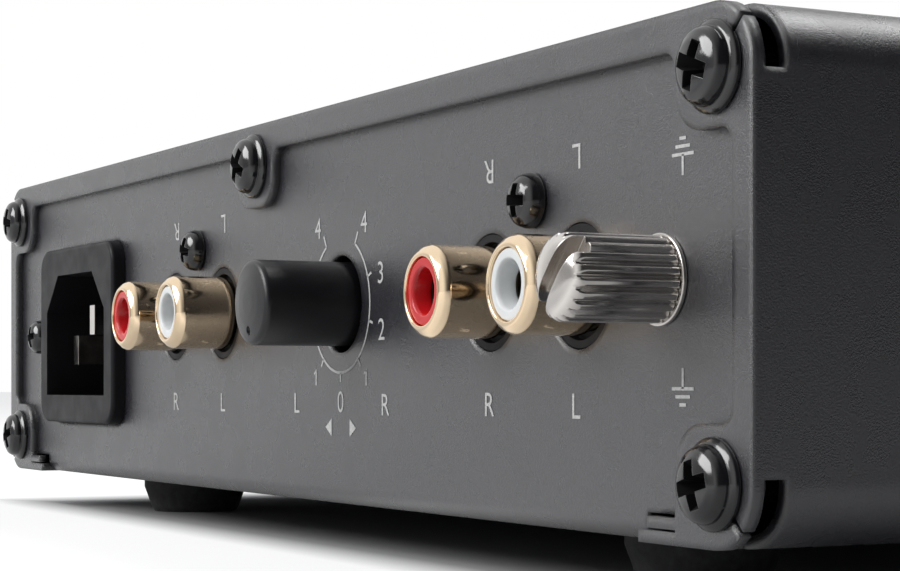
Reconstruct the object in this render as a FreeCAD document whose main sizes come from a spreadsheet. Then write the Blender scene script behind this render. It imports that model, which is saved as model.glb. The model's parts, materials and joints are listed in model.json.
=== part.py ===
import FreeCAD, Part
import os
from types import SimpleNamespace

import Sketcher

# A small phono preamp in a folded steel case, sizes in millimetres.
# +X is right seen from the front, the sockets face +Y, +Z is up.
# The origin is the middle of the outer box, on the surface that the feet stand on.

SIZES = (
    ("case_width", 188.0, "outside width of the cover"),
    ("case_height", 40.8, "outside height of the cover, without the feet"),
    ("case_corner", 4.8, "outside radius of the cover's long corners"),
    ("body_depth", 130.0, "rear face of the socket panel to back of the fascia"),
    ("sheet", 1.0, "thickness of the folded steel"),
    ("sheet_gap", 0.2, "gap between one folded part and the next"),
    ("bend", 1.6, "outside radius of the tray's bends"),
    ("lip", 3.0, "height of the cover's rear lip along the top"),
    ("side_lip", 2.6, "width of the cover's rear lip down each side"),
    ("tongue_half", 5.0, "half width of the lip's middle tongue"),
    ("tongue_drop", 9.1, "top of the case down to the end of the tongue"),
    ("tab_width", 10.2, "side of the case in to the edge of a corner tab"),
    ("tab_drop", 9.4, "top or bottom of the case to the end of a corner tab"),
    ("lug_round", 3.5, "corner radius of tabs and tongue"),
    ("lug_fillet", 1.5, "radius where tabs and tongue leave the lip"),
    ("corner_slot", 2.0, "length of the open slot behind each rear corner"),
    ("corner_slot_rise", 5.4, "case edge to the end of the corner slot"),
    ("notch_reach", 3.0, "case edge in to the end of the notch across each rear corner"),
    ("notch_width", 0.5, "width of that notch"),
    ("return_width", 15.4, "width of the cover's flange under the case"),
    ("panel_slot_rise", 2.3, "height of the slot under the socket panel"),
    ("fascia_thick", 4.0, "thickness of the front fascia"),
    ("fascia_round", 0.8, "edge radius of the fascia's face"),
    ("foot_height", 5.2, "surface to the underside of the case"),
    ("foot_radius", 7.0, "radius of a foot at the case"),
    ("foot_inset", 16.0, "case edge to the middle of a foot"),
    ("screw_flange", 3.55, "radius of the cover screws' flange"),
    ("screw_dome", 3.0, "radius of the cover screws' head"),
    ("screw_head", 2.5, "height of the cover screws' head with its flange"),
    ("screw_shank", 1.45, "radius of the cover and socket screws' shank"),
    ("screw_inset", 4.9, "case edge to a corner screw"),
    ("tongue_screw_drop", 4.5, "top of the case down to the middle screw"),
    ("hole_gap", 0.05, "radial gap round shanks, shells and pins"),
    ("socket_rise", 20.5, "underside of the case up to the sockets' axes"),
    ("socket_pitch", 15.4, "spacing of the two sockets of a pair"),
    ("input_inset", 33.8, "side of the case in to the middle of the input pair"),
    ("output_inset", 74.3, "side of the case in to the middle of the output pair"),
    ("socket_screw_rise", 7.6, "socket axes up to the screw between them"),
    ("socket_hole", 5.3, "radius of the panel's socket holes"),
    ("shell_radius", 4.15, "outside radius of a phono socket's shell"),
    ("shell_seat", 3.7, "outside radius of the shell behind the panel's face"),
    ("shell_wall", 1.1, "wall of the shell"),
    ("shell_chamfer", 0.8, "chamfer of the shell's outer rim"),
    ("ring_bore", 4.5, "bore of the moulded ring round a shell"),
    ("shell_proud", 7.0, "panel face to the end of the shell"),
    ("shell_depth", 12.0, "panel face back to the inner end of the shell"),
    ("insulator_sunk", 0.25, "end of the shell in to the insulator's face"),
    ("insulator_mouth", 2.7, "radius of the insulator's funnel at its face"),
    ("funnel_depth", 1.3, "depth of the insulator's funnel"),
    ("contact_bore", 1.65, "radius inside the centre contact"),
    ("contact_wall", 0.35, "wall of the centre contact"),
    ("contact_depth", 3.2, "end of the shell in to the centre contact"),
    ("block_depth", 11.0, "depth of the moulded socket block behind the panel"),
    ("balance_place", 20.6, "middle of the case to the balance control"),
    ("knob_hole", 5.0, "radius of the panel's hole for the knob"),
    ("knob_radius", 4.3, "radius of the balance knob"),
    ("knob_proud", 10.3, "panel face to the end of the knob"),
    ("knob_sunk", 2.2, "panel face back to the knob's inner end"),
    ("knob_round", 0.9, "edge radius of the knob's face"),
    ("shaft_radius", 3.0, "radius of the control shaft"),
    ("bush_radius", 3.9, "radius of the control's threaded bush"),
    ("pot_side", 11.4, "side of the control's square body"),
    ("pot_depth", 7.0, "depth of the control's body"),
    ("ground_inset", 13.6, "side of the case in to the ground terminal"),
    ("post_radius", 3.3, "radius of the terminal's knurled head"),
    ("post_length", 8.0, "length of the knurled head"),
    ("post_dome", 1.2, "height of the head's domed end"),
    ("post_shank", 1.95, "radius of the terminal's threaded shank"),
    ("post_reach", 8.5, "length of the shank behind the washer"),
    ("slot_width", 1.2, "width of the slot in the head"),
    ("slot_depth", 1.8, "depth of the slot in the head"),
    ("flute_radius", 0.32, "radius of one flute of the knurl"),
    ("washer_radius", 4.0, "radius of the terminal's washer"),
    ("washer_thick", 0.9, "thickness of the terminal's washer"),
    ("inlet_inset", 32.6, "side of the case in to the middle of the mains inlet"),
    ("inlet_rise", 19.0, "underside of the case up to the inlet's middle"),
    ("collar_width", 31.0, "width of the inlet's raised collar"),
    ("collar_height", 23.8, "height of the inlet's raised collar"),
    ("collar_round", 3.0, "corner radius of the collar"),
    ("collar_proud", 1.8, "panel face to the collar's face"),
    ("cavity_width", 24.6, "width of the inlet's cavity"),
    ("cavity_height", 16.4, "height of the inlet's cavity"),
    ("cavity_depth", 15.8, "depth of the inlet's cavity"),
    ("cavity_cut", 5.0, "chamfer of the cavity's two upper corners"),
    ("inlet_flange", 50.0, "width of the inlet's screw flange"),
    ("inlet_screws_apart", 40.0, "distance between the inlet's two screws"),
    ("pin_thick", 2.0, "width of a mains pin"),
    ("pin_high", 4.0, "height of a mains pin"),
    ("pin_apart", 7.0, "middle of the inlet to the live and neutral pins"),
    ("earth_rise", 4.0, "how far the earth pin stands above the others"),
    ("button_inset", 24.0, "side of the case in to the power button"),
    ("button_radius", 5.5, "radius of the power button"),
    ("button_proud", 3.2, "fascia face to the end of the power button"),
    ("button_travel", 2.5, "stroke of the power button"),
    ("button_gap", 0.15, "gap round the power button"),
    ("lamp_apart", 14.0, "power button to the power lamp"),
    ("lamp_radius", 1.5, "radius of the power lamp"),
    ("board_rise", 5.0, "tray floor up to the underside of the circuit board"),
    ("board_thick", 1.6, "thickness of the circuit board"),
    ("board_margin", 6.0, "inside of the case to the edge of the circuit board"),
    ("core_width", 36.0, "width of the transformer's core"),
    ("core_stack", 14.0, "thickness of the core's stack of plates"),
    ("core_height", 26.0, "height of the transformer's core"),
    ("core_leg", 12.0, "width of the core's middle leg"),
    ("capacitor_radius", 6.3, "radius of a filter capacitor"),
    ("capacitor_height", 20.0, "height of a filter capacitor"),
    ("wire_radius", 0.9, "radius of the insulated wires inside"),
)

TURN_TO_Y = FreeCAD.Rotation(FreeCAD.Vector(1, 0, 0), -90)
TOP_TO_BACK = FreeCAD.Rotation(FreeCAD.Matrix(0, 0, 1, 0, 0, -1, 0, 0, 1, 0, 0, 0, 0, 0, 0, 1))
CLEAR = 1.0
DIAGONAL = 0.5 ** 0.5 / 2
FLUTES = 20


class Size:
    """A length together with the sheet expression that it comes from."""

    def __init__(self, value, text):
        self.value = float(value)
        self.text = text

    def __add__(self, other):
        other = as_size(other)
        return Size(self.value + other.value, f"({self.text} + {other.text})")

    def __radd__(self, other):
        return as_size(other) + self

    def __sub__(self, other):
        other = as_size(other)
        return Size(self.value - other.value, f"({self.text} - {other.text})")

    def __rsub__(self, other):
        return as_size(other) - self

    def __mul__(self, factor):
        return Size(self.value * factor, f"({self.text} * {factor})")

    def __rmul__(self, factor):
        return self * factor

    def __truediv__(self, divisor):
        return Size(self.value / divisor, f"({self.text} / {divisor})")

    def __neg__(self):
        return Size(-self.value, f"(-{self.text})")


def as_size(item):
    """A plain number as a Size."""
    return item if isinstance(item, Size) else Size(item, f"({float(item)})")


doc = FreeCAD.newDocument("phono_preamp")
sheet = doc.addObject("Spreadsheet::Sheet", "Sizes")
for row, (alias, number, meaning) in enumerate(SIZES, start=1):
    sheet.set(f"A{row}", alias)
    sheet.set(f"B{row}", str(number))
    sheet.setAlias(f"B{row}", alias)
    sheet.set(f"C{row}", meaning)
doc.recompute()
s = SimpleNamespace(**{alias: Size(number, f"Sizes.{alias}") for alias, number, _ in SIZES})

kept = []


def keep(item, label):
    """Name a finished sub-part and put it on the list of those written out."""
    item.Label = label
    kept.append(item)
    return item


def bind(item, path, size):
    """Tie one property of an object to the sheet."""
    item.setExpression(path, as_size(size).text)


def place(item, corner, rotation=None):
    """Put an object at a corner given in sizes."""
    numbers = FreeCAD.Vector(*(as_size(part).value for part in corner))
    item.Placement = FreeCAD.Placement(numbers, rotation or FreeCAD.Rotation())
    for axis, part in zip("xyz", corner):
        bind(item, f"Placement.Base.{axis}", part)
    return item


# Sketches and solid features

def new_body(label, corner=(0, 0, 0), rotation=None):
    """An empty body at its place in the assembly."""
    body = doc.addObject("PartDesign::Body", label)
    return place(body, corner, rotation)


def new_sketch(body, name, plane, offset=0):
    """A sketch on one of the body's own origin planes."""
    sketch = body.newObject("Sketcher::SketchObject", f"{body.Name}_{name}")
    support = next(item for item in body.Origin.OriginFeatures if item.Role == plane)
    sketch.AttachmentSupport = [(support, "")]
    sketch.MapMode = "FlatFace"
    bind(sketch, "AttachmentOffset.Base.z", offset)
    return sketch


def hold(sketch, kind, first, second, size):
    """Add one dimension to a sketch and tie it to the sheet."""
    size = as_size(size)
    index = sketch.addConstraint(Sketcher.Constraint(kind, *first, *second, size.value))
    sketch.setExpression(f"Constraints[{index}]", size.text)


def add_loop(sketch, corners):
    """Straight sides through the corners, every corner held by the sheet."""
    points = [(as_size(a), as_size(b)) for a, b in corners]
    start = sketch.GeometryCount
    vectors = [FreeCAD.Vector(a.value, b.value, 0) for a, b in points]
    sides = [Part.LineSegment(v, vectors[(i + 1) % len(vectors)]) for i, v in enumerate(vectors)]
    sketch.addGeometry(sides, False)
    joins = []
    for i in range(len(points)):
        joins.append(Sketcher.Constraint("Coincident", start + i, 2, start + (i + 1) % len(points), 1))
    sketch.addConstraint(joins)
    for i, (a, b) in enumerate(points):
        hold(sketch, "DistanceX", (-1, 1), (start + i, 1), a)
        hold(sketch, "DistanceY", (-1, 1), (start + i, 1), b)


def add_box(sketch, low_a, low_b, high_a, high_b):
    """A rectangle between two opposite corners."""
    add_loop(sketch, ((low_a, low_b), (high_a, low_b), (high_a, high_b), (low_a, high_b)))


def add_circle(sketch, a, b, radius):
    """A circle, its centre and radius held by the sheet."""
    a, b, radius = as_size(a), as_size(b), as_size(radius)
    centre = FreeCAD.Vector(a.value, b.value, 0)
    index = sketch.addGeometry(Part.Circle(centre, FreeCAD.Vector(0, 0, 1), radius.value), False)
    hold(sketch, "DistanceX", (-1, 1), (index, 3), a)
    hold(sketch, "DistanceY", (-1, 1), (index, 3), b)
    hold(sketch, "Radius", (index,), (), radius)


def feature(body, kind, name, sketch, length=None, reverse=False):
    """A pad, pocket, revolution or groove made from one sketch."""
    before = body.Tip.Shape.Volume if kind in ("Pocket", "Groove") else None
    item = body.newObject(f"PartDesign::{kind}", f"{body.Name}_{name}")
    item.Profile = sketch
    if kind in ("Revolution", "Groove"):
        item.ReferenceAxis = (sketch, ["V_Axis"])
        item.Angle = 360.0
    else:
        bind(item, "Length", length)
        item.Reversed = reverse
    body.Tip = item
    doc.recompute()
    if before is not None and item.Shape.Volume >= before - 1e-6:
        raise RuntimeError(f"{item.Name} cuts nothing")
    return item


def spun(label, corners, corner, rotation=None):
    """A body turned round its own Y axis from corners given as radius and place along the axis."""
    body = new_body(label, corner, rotation)
    sketch = new_sketch(body, "profile", "XY_Plane")
    add_loop(sketch, corners)
    feature(body, "Revolution", "turned", sketch)
    return body


def round_edges(body, name, kind, size, wanted):
    """Fillet or chamfer the edges that a test picks on the body so far."""
    edges = [f"Edge{i}" for i, edge in enumerate(body.Tip.Shape.Edges, start=1) if wanted(edge)]
    if not edges:
        raise RuntimeError(f"{body.Name}_{name} finds no edge")
    base = body.Tip
    item = body.newObject(f"PartDesign::{kind}", f"{body.Name}_{name}")
    item.Base = (base, edges)
    bind(item, "Radius" if kind == "Fillet" else "Size", size)
    body.Tip = item
    doc.recompute()
    return item


def near(value, size):
    return abs(value - as_size(size).value) < 1e-3


def runs_along(edge, axis):
    """Whether an edge is straight and parallel to an axis."""
    if not isinstance(edge.Curve, Part.Line):
        return False
    return abs(abs(getattr(edge.Curve.Direction, axis)) - 1) < 1e-6


def along_y_at(*places):
    """A test for edges along Y that pass through one of the given x and z places."""
    def wanted(edge):
        centre = edge.CenterOfMass
        spots = (near(centre.x, x) and near(centre.z, z) for x, z in places)
        return runs_along(edge, "y") and any(spots)
    return wanted


def both_sides(*places):
    """The same places at +x and at -x."""
    return [(x * sign, z) for x, z in places for sign in (1, -1)]


# Plain solids and booleans

def box(name, corner, length, width, height):
    """A block from its lowest corner."""
    item = doc.addObject("Part::Box", name)
    bind(item, "Length", length)
    bind(item, "Width", width)
    bind(item, "Height", height)
    return place(item, corner)


def rod(name, start, radius, length, rotation=None):
    """A round rod that runs up from its start, or along the turned axis."""
    item = doc.addObject("Part::Cylinder", name)
    bind(item, "Radius", radius)
    bind(item, "Height", length)
    return place(item, start, rotation)


def hexagon(name, start, radius, length, rotation=None):
    """A six-sided bar, its radius taken to the corners."""
    item = doc.addObject("Part::Prism", name)
    item.Polygon = 6
    bind(item, "Circumradius", radius)
    bind(item, "Height", length)
    return place(item, start, rotation)


def fused(name, items):
    item = doc.addObject("Part::MultiFuse", name)
    item.Shapes = items
    return item


def cut(name, base, tools):
    """One solid less the others."""
    item = doc.addObject("Part::Cut", name)
    item.Base = base
    item.Tool = tools[0] if len(tools) == 1 else fused(f"{name}_tools", tools)
    return item


def copies(label, model, places):
    """Like pieces, each at its own place, in one node."""
    links = []
    for number, corner in enumerate(places, start=1):
        link = doc.addObject("App::Link", f"{label}_{number}")
        link.LinkedObject = model
        link.LinkTransform = False
        place(link, corner, model.Placement.Rotation)
        links.append(link)
    group = doc.addObject("Part::Compound", label)
    group.Links = links
    return keep(group, label)


# Places that several pieces share

half_width = s.case_width / 2
input_x = s.input_inset - half_width
ground_x = s.ground_inset - half_width
output_x = half_width - s.output_inset
inlet_x = half_width - s.inlet_inset
button_x = half_width - s.button_inset
depth_over_all = s.button_proud + s.fascia_thick + s.body_depth + s.knob_proud
rear = depth_over_all / 2 - s.knob_proud
front = rear - s.body_depth
under = s.foot_height
floor = under + s.sheet
axis_z = under + s.socket_rise
inlet_z = under + s.inlet_rise
board_z = floor + s.board_rise
board_top = board_z + s.board_thick
socket_places = {
    "input_right": input_x + s.socket_pitch / 2,
    "input_left": input_x - s.socket_pitch / 2,
    "output_right": output_x + s.socket_pitch / 2,
    "output_left": output_x - s.socket_pitch / 2,
}
corner_x = half_width - s.screw_inset
cover_screw_spots = (
    (corner_x, s.screw_inset),
    (-corner_x, s.screw_inset),
    (corner_x, s.case_height - s.screw_inset),
    (-corner_x, s.case_height - s.screw_inset),
    (Size(0, "(0.0)"), s.case_height - s.tongue_screw_drop),
)
inlet_screw_places = (inlet_x - s.inlet_screws_apart / 2, inlet_x + s.inlet_screws_apart / 2)


def make_cover():
    """Folded cover: top, sides, flanges under the case, and a rear lip with screw tabs."""
    body = new_body("case_cover", (0, rear, under))
    height = s.case_height
    sketch = new_sketch(body, "outside", "XZ_Plane", -s.sheet)
    add_box(sketch, -half_width, 0, half_width, height)
    feature(body, "Pad", "block", sketch, s.body_depth + s.sheet)

    sketch = new_sketch(body, "inside", "XZ_Plane", 0)
    inner = half_width - s.sheet
    add_box(sketch, -inner, s.sheet, inner, height - s.sheet)
    feature(body, "Pocket", "hollow", sketch, s.body_depth + CLEAR, True)
    corners = both_sides((inner, s.sheet), (inner, height - s.sheet))
    round_edges(body, "inner_corners", "Fillet", s.case_corner - s.sheet, along_y_at(*corners))
    corners = both_sides((half_width, 0), (half_width, height))
    round_edges(body, "corners", "Fillet", s.case_corner, along_y_at(*corners))

    sketch = new_sketch(body, "underneath", "XZ_Plane", -s.sheet - CLEAR)
    flange = half_width - s.return_width
    add_box(sketch, -flange, -CLEAR, flange, s.sheet)
    feature(body, "Pocket", "open_floor", sketch, s.body_depth + 2 * CLEAR + s.sheet, True)

    side = half_width - s.side_lip
    tab = half_width - s.tab_width
    tail = flange + s.sheet + s.sheet_gap
    lip_low = height - s.lip
    tongue_low = height - s.tongue_drop
    tail_low = s.sheet + s.sheet_gap
    tail_high = s.panel_slot_rise - s.sheet_gap
    right = (
        (s.tongue_half, tongue_low),
        (s.tongue_half, lip_low),
        (tab, lip_low),
        (tab, height - s.tab_drop),
        (side, height - s.tab_drop),
        (side, s.tab_drop),
        (tab, s.tab_drop),
        (tab, tail_high),
        (tail, tail_high),
        (tail, tail_low),
        (tab, tail_low),
        (tab, s.sheet),
        (flange, s.sheet),
        (flange, -CLEAR),
    )
    left = tuple((-x, z) for x, z in reversed(right))
    sketch = new_sketch(body, "rear_opening", "XZ_Plane", -s.sheet - CLEAR)
    add_loop(sketch, right + left)
    feature(body, "Pocket", "rear_window", sketch, s.sheet + 2 * CLEAR, True)
    lugs = both_sides((s.tongue_half, tongue_low), (tab, height - s.tab_drop), (tab, s.tab_drop))
    round_edges(body, "lug_corners", "Fillet", s.lug_round, along_y_at(*lugs))
    roots = both_sides((s.tongue_half, lip_low), (tab, lip_low), (side, height - s.tab_drop), (side, s.tab_drop))
    round_edges(body, "lug_roots", "Fillet", s.lug_fillet, along_y_at(*roots))

    sketch = new_sketch(body, "corner_slots", "XZ_Plane", 0)
    rise = s.corner_slot_rise
    for sign in (1, -1):
        for low, high in ((-CLEAR, rise), (height - rise, height + CLEAR)):
            add_box(sketch, (half_width - rise) * sign, low, (half_width + CLEAR) * sign, high)
    feature(body, "Pocket", "corner_slots", sketch, s.corner_slot, True)

    sketch = new_sketch(body, "corner_notches", "XZ_Plane", -s.sheet - CLEAR)
    reach, skew = s.notch_reach, s.notch_width * DIAGONAL
    for sign in (1, -1):
        for edge, inward in ((0, 1), (height, -1)):
            near_x, near_z = (half_width - reach) * sign, edge + reach * inward
            far_x, far_z = half_width * sign, as_size(edge)
            add_loop(sketch, (
                (near_x - skew * sign, near_z - skew * inward),
                (near_x + skew * sign, near_z + skew * inward),
                (far_x + skew * sign, far_z + skew * inward),
                (far_x - skew * sign, far_z - skew * inward),
            ))
    feature(body, "Pocket", "corner_notches", sketch, s.sheet + CLEAR, True)

    sketch = new_sketch(body, "screw_holes", "XZ_Plane", -s.sheet - CLEAR)
    for x, z in cover_screw_spots:
        add_circle(sketch, x, z, s.screw_shank + s.hole_gap)
    feature(body, "Pocket", "screw_holes", sketch, s.sheet + 2 * CLEAR, True)
    keep(body, "case_cover")


def make_tray():
    """Folded tray: floor, socket panel at the rear and a plain panel behind the fascia."""
    body = new_body("base_tray", (0, rear, under))
    half = half_width - s.sheet - s.sheet_gap
    top = s.case_height - s.sheet - s.sheet_gap
    sketch = new_sketch(body, "folds", "YZ_Plane", -half)
    add_loop(sketch, (
        (0, 0),
        (0, top),
        (-s.sheet, top),
        (-s.sheet, s.sheet),
        (-s.body_depth + s.sheet, s.sheet),
        (-s.body_depth + s.sheet, top),
        (-s.body_depth, top),
        (-s.body_depth, 0),
    ))
    feature(body, "Pad", "folded_sheet", sketch, half * 2)

    def outer_bend(edge):
        centre = edge.CenterOfMass
        return runs_along(edge, "x") and near(centre.z, 0)

    def inner_bend(edge):
        centre = edge.CenterOfMass
        return runs_along(edge, "x") and near(centre.z, s.sheet)

    round_edges(body, "outer_bends", "Fillet", s.bend, outer_bend)
    round_edges(body, "inner_bends", "Fillet", s.bend - s.sheet, inner_bend)

    def upper_corner(edge):
        centre = edge.CenterOfMass
        return runs_along(edge, "y") and near(centre.z, top)

    round_edges(body, "upper_corners", "Fillet", s.case_corner - s.sheet, upper_corner)

    sketch = new_sketch(body, "side_slots", "XZ_Plane", -CLEAR)
    edge_x = half_width - s.return_width - s.sheet_gap
    for sign in (1, -1):
        add_box(sketch, edge_x * sign, -CLEAR, (half + CLEAR) * sign, s.panel_slot_rise)
    feature(body, "Pocket", "side_slots", sketch, s.body_depth + 2 * CLEAR, True)

    low_corners = both_sides((half, s.panel_slot_rise))
    round_edges(body, "low_corners", "Fillet", s.case_corner - 2 * s.sheet, along_y_at(*low_corners))

    sketch = new_sketch(body, "rear_holes", "XZ_Plane", -CLEAR)
    for x in socket_places.values():
        add_circle(sketch, x, s.socket_rise, s.socket_hole)
    for x in (input_x, output_x):
        add_circle(sketch, x, s.socket_rise + s.socket_screw_rise, s.screw_shank + s.hole_gap)
    add_circle(sketch, -s.balance_place, s.socket_rise, s.knob_hole)
    add_circle(sketch, ground_x, s.socket_rise, s.post_shank + s.sheet + s.hole_gap)
    for x, z in cover_screw_spots:
        add_circle(sketch, x, z, s.screw_shank + s.hole_gap)
    for x in inlet_screw_places:
        add_circle(sketch, x, s.inlet_rise, s.screw_shank + s.hole_gap)
    collar_x = s.collar_width / 2 + s.hole_gap
    collar_z = s.collar_height / 2 + s.hole_gap
    add_box(
        sketch,
        inlet_x - collar_x, s.inlet_rise - collar_z,
        inlet_x + collar_x, s.inlet_rise + collar_z,
    )
    feature(body, "Pocket", "rear_holes", sketch, s.sheet + 2 * CLEAR, True)
    window = [
        (inlet_x + collar_x * a, s.inlet_rise + collar_z * b) for a in (1, -1) for b in (1, -1)
    ]
    round_edges(body, "inlet_corners", "Fillet", s.collar_round, along_y_at(*window))

    sketch = new_sketch(body, "front_holes", "XZ_Plane", s.body_depth + CLEAR)
    add_circle(sketch, button_x, s.socket_rise, s.button_radius + 2 * s.sheet)
    add_circle(sketch, button_x - s.lamp_apart, s.socket_rise, s.lamp_radius + 2 * s.sheet)
    for x, z in fascia_screw_spots():
        add_circle(sketch, x, z, s.screw_shank + s.hole_gap)
    feature(body, "Pocket", "front_holes", sketch, s.sheet + 2 * CLEAR)

    sketch = new_sketch(body, "floor_holes", "XY_Plane", -CLEAR)
    for x, y in foot_spots() + board_spots():
        add_circle(sketch, x, y, s.screw_shank + s.hole_gap)
    feature(body, "Pocket", "floor_holes", sketch, s.sheet + 2 * CLEAR, True)
    keep(body, "base_tray")


def fascia_screw_spots():
    """The four screws that hold the fascia, from inside the tray's front panel."""
    inset = 2 * s.screw_inset
    x = half_width - inset
    return [(x * sign, z) for sign in (1, -1) for z in (inset, s.case_height - inset)]


def foot_spots():
    """Middle of each foot from the socket panel's outer face."""
    x = half_width - s.return_width - s.foot_inset
    return [(x * sign, y) for sign in (1, -1) for y in (-s.foot_inset, s.foot_inset - s.body_depth)]


def board_spots():
    """Middle of each board standoff from the socket panel's outer face."""
    x = half_width - s.return_width - s.board_margin
    far = s.board_margin + s.sheet + 2 * s.foot_inset
    return [(x * sign, y) for sign in (1, -1) for y in (-far, far - s.body_depth)]


def make_fascia():
    """Thick front fascia with holes for the button and the lamp."""
    body = new_body("front_fascia", (0, front, under))
    sketch = new_sketch(body, "outline", "XZ_Plane")
    add_box(sketch, -half_width, 0, half_width, s.case_height)
    feature(body, "Pad", "plate", sketch, s.fascia_thick)
    corners = both_sides((half_width, 0), (half_width, s.case_height))
    round_edges(body, "corners", "Fillet", s.case_corner, along_y_at(*corners))

    def on_face(edge):
        return near(edge.BoundBox.YMin, -s.fascia_thick) and near(edge.BoundBox.YMax, -s.fascia_thick)

    round_edges(body, "face_edge", "Fillet", s.fascia_round, on_face)
    sketch = new_sketch(body, "holes", "XZ_Plane", -CLEAR)
    add_circle(sketch, button_x, s.socket_rise, s.button_radius + s.button_gap)
    add_circle(sketch, button_x - s.lamp_apart, s.socket_rise, s.lamp_radius + s.hole_gap)
    feature(body, "Pocket", "holes", sketch, s.fascia_thick + 2 * CLEAR, True)
    sketch = new_sketch(body, "screw_holes", "XZ_Plane", -CLEAR)
    for x, z in fascia_screw_spots():
        add_circle(sketch, x, z, s.screw_shank + s.hole_gap)
    feature(body, "Pocket", "screw_holes", sketch, s.fascia_thick - s.fascia_round + CLEAR, True)
    keep(body, "front_fascia")


def screw_profile(head, low, rise, shank, length):
    """Half section of a screw whose domed head starts at y = low and whose shank goes to -y."""
    tall = rise - low
    return (
        (0, -length),
        (shank, -length),
        (shank, low),
        (head, low),
        (head, low + tall * 0.3),
        (head * 0.8, low + tall * 0.8),
        (head * 0.4, rise),
        (0, rise),
    )


def pan_profile(head, rise, shank, length):
    """The same with a plain pan head that stands on y = 0."""
    return ((0, -length), (shank, -length), (shank, 0), (head, 0), (head * 0.8, rise), (0, rise))


def flanged_profile(head, flange, rise, shank, length):
    """The same with a thin round flange under the head."""
    thick = s.sheet * 0.7
    plain = screw_profile(head, thick, rise, shank, length)
    return plain[:1] + ((shank, -length), (shank, 0), (flange, 0), (flange, thick)) + plain[3:]


def make_screws():
    """Every screw that the case shows or hides, like ones in one node."""
    length = s.sheet * 6
    profile = flanged_profile(s.screw_dome, s.screw_flange, s.screw_head, s.screw_shank, length)
    model = spun("cover_screw_model", profile, (0, 0, 0))
    copies("cover_screws", model, [(x, rear + s.sheet, under + z) for x, z in cover_screw_spots])

    pan = s.screw_dome * 0.8
    rise = s.screw_head * 0.8
    model = spun("pan_screw_model", screw_profile(pan, 0, rise, s.screw_shank, length), (0, 0, 0))
    height = axis_z + s.socket_screw_rise
    copies("socket_screws", model, [(x, rear, height) for x in (input_x, output_x)])
    copies("inlet_screws", model, [(x, rear, inlet_z) for x in inlet_screw_places])

    profile = pan_profile(pan, rise, s.screw_shank, s.sheet * 3.5)
    model = spun("fascia_screw_model", profile, (0, 0, 0))
    copies("fascia_screws", model, [(x, front + s.sheet, under + z) for x, z in fascia_screw_spots()])

    upright = FreeCAD.Rotation(FreeCAD.Vector(1, 0, 0), 90)
    profile = pan_profile(pan, rise, s.screw_shank, s.board_thick + s.board_rise * 0.8)
    model = spun("board_screw_model", profile, (0, 0, 0), upright)
    copies("board_screws", model, [(x, rear + y, board_top) for x, y in board_spots()])

    inverted = FreeCAD.Rotation(FreeCAD.Vector(1, 0, 0), -90)
    length = s.foot_height * 0.5 + s.sheet * 2.5
    profile = pan_profile(pan, s.foot_height * 0.3, s.screw_shank, length)
    model = spun("foot_screw_model", profile, (0, 0, 0), inverted)
    copies("foot_screws", model, [(x, rear + y, under - s.foot_height * 0.5) for x, y in foot_spots()])


def make_feet():
    """Rubber feet with a recess for the screw from below."""
    pan = s.screw_dome * 0.8
    recess = pan + s.hole_gap * 4
    inverted = FreeCAD.Rotation(FreeCAD.Vector(1, 0, 0), 90)
    model = spun("foot_model", (
        (s.screw_shank + s.hole_gap, 0),
        (s.foot_radius, 0),
        (s.foot_radius, -s.foot_height * 0.35),
        (s.foot_radius * 0.86, -s.foot_height * 0.88),
        (s.foot_radius * 0.8, -s.foot_height),
        (recess, -s.foot_height),
        (recess, -s.foot_height * 0.5),
        (s.screw_shank + s.hole_gap, -s.foot_height * 0.5),
    ), (0, 0, 0), inverted)
    copies("rubber_feet", model, [(x, rear + y, under) for x, y in foot_spots()])
    nut = cut("foot_nut_model", hexagon("foot_nut_bar", (0, 0, 0), s.screw_dome, s.sheet * 1.4),
              [rod("foot_nut_hole", (0, 0, -CLEAR), s.screw_shank + s.hole_gap, s.sheet * 1.4 + 2 * CLEAR)])
    copies("foot_nuts", nut, [(x, rear + y, floor) for x, y in foot_spots()])


def make_socket(name, x):
    """One phono socket: turned shell, insulator with a funnel, and the centre contact."""
    inner = s.shell_radius - s.shell_wall
    shell = spun(f"{name}_shell", (
        (inner, -s.shell_depth),
        (s.shell_seat, -s.shell_depth),
        (s.shell_seat, 0),
        (s.shell_radius, 0),
        (s.shell_radius, s.shell_proud - s.shell_chamfer),
        (s.shell_radius - s.shell_chamfer, s.shell_proud),
        (inner, s.shell_proud),
    ), (x, rear, axis_z))
    keep(shell, f"{name}_shell")

    outside = inner - s.hole_gap
    face = s.shell_proud - s.insulator_sunk
    contact_outside = s.contact_bore + s.contact_wall
    throat = s.contact_bore + 2 * s.hole_gap
    contact_end = s.shell_proud - s.contact_depth
    insulator = spun(f"{name}_insulator", (
        (contact_outside + s.hole_gap, -s.shell_depth),
        (outside, -s.shell_depth),
        (outside, face),
        (s.insulator_mouth, face),
        (throat, face - s.funnel_depth),
        (throat, contact_end),
        (contact_outside + s.hole_gap, contact_end),
    ), (x, rear, axis_z))
    keep(insulator, f"{name}_insulator")

    contact = spun(f"{name}_contact", (
        (0, -s.shell_depth - s.sheet),
        (contact_outside, -s.shell_depth - s.sheet),
        (contact_outside, contact_end),
        (s.contact_bore, contact_end),
        (s.contact_bore, -s.shell_depth + s.sheet),
        (0, -s.shell_depth + s.sheet),
    ), (x, rear, axis_z))
    keep(contact, f"{name}_contact")


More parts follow.
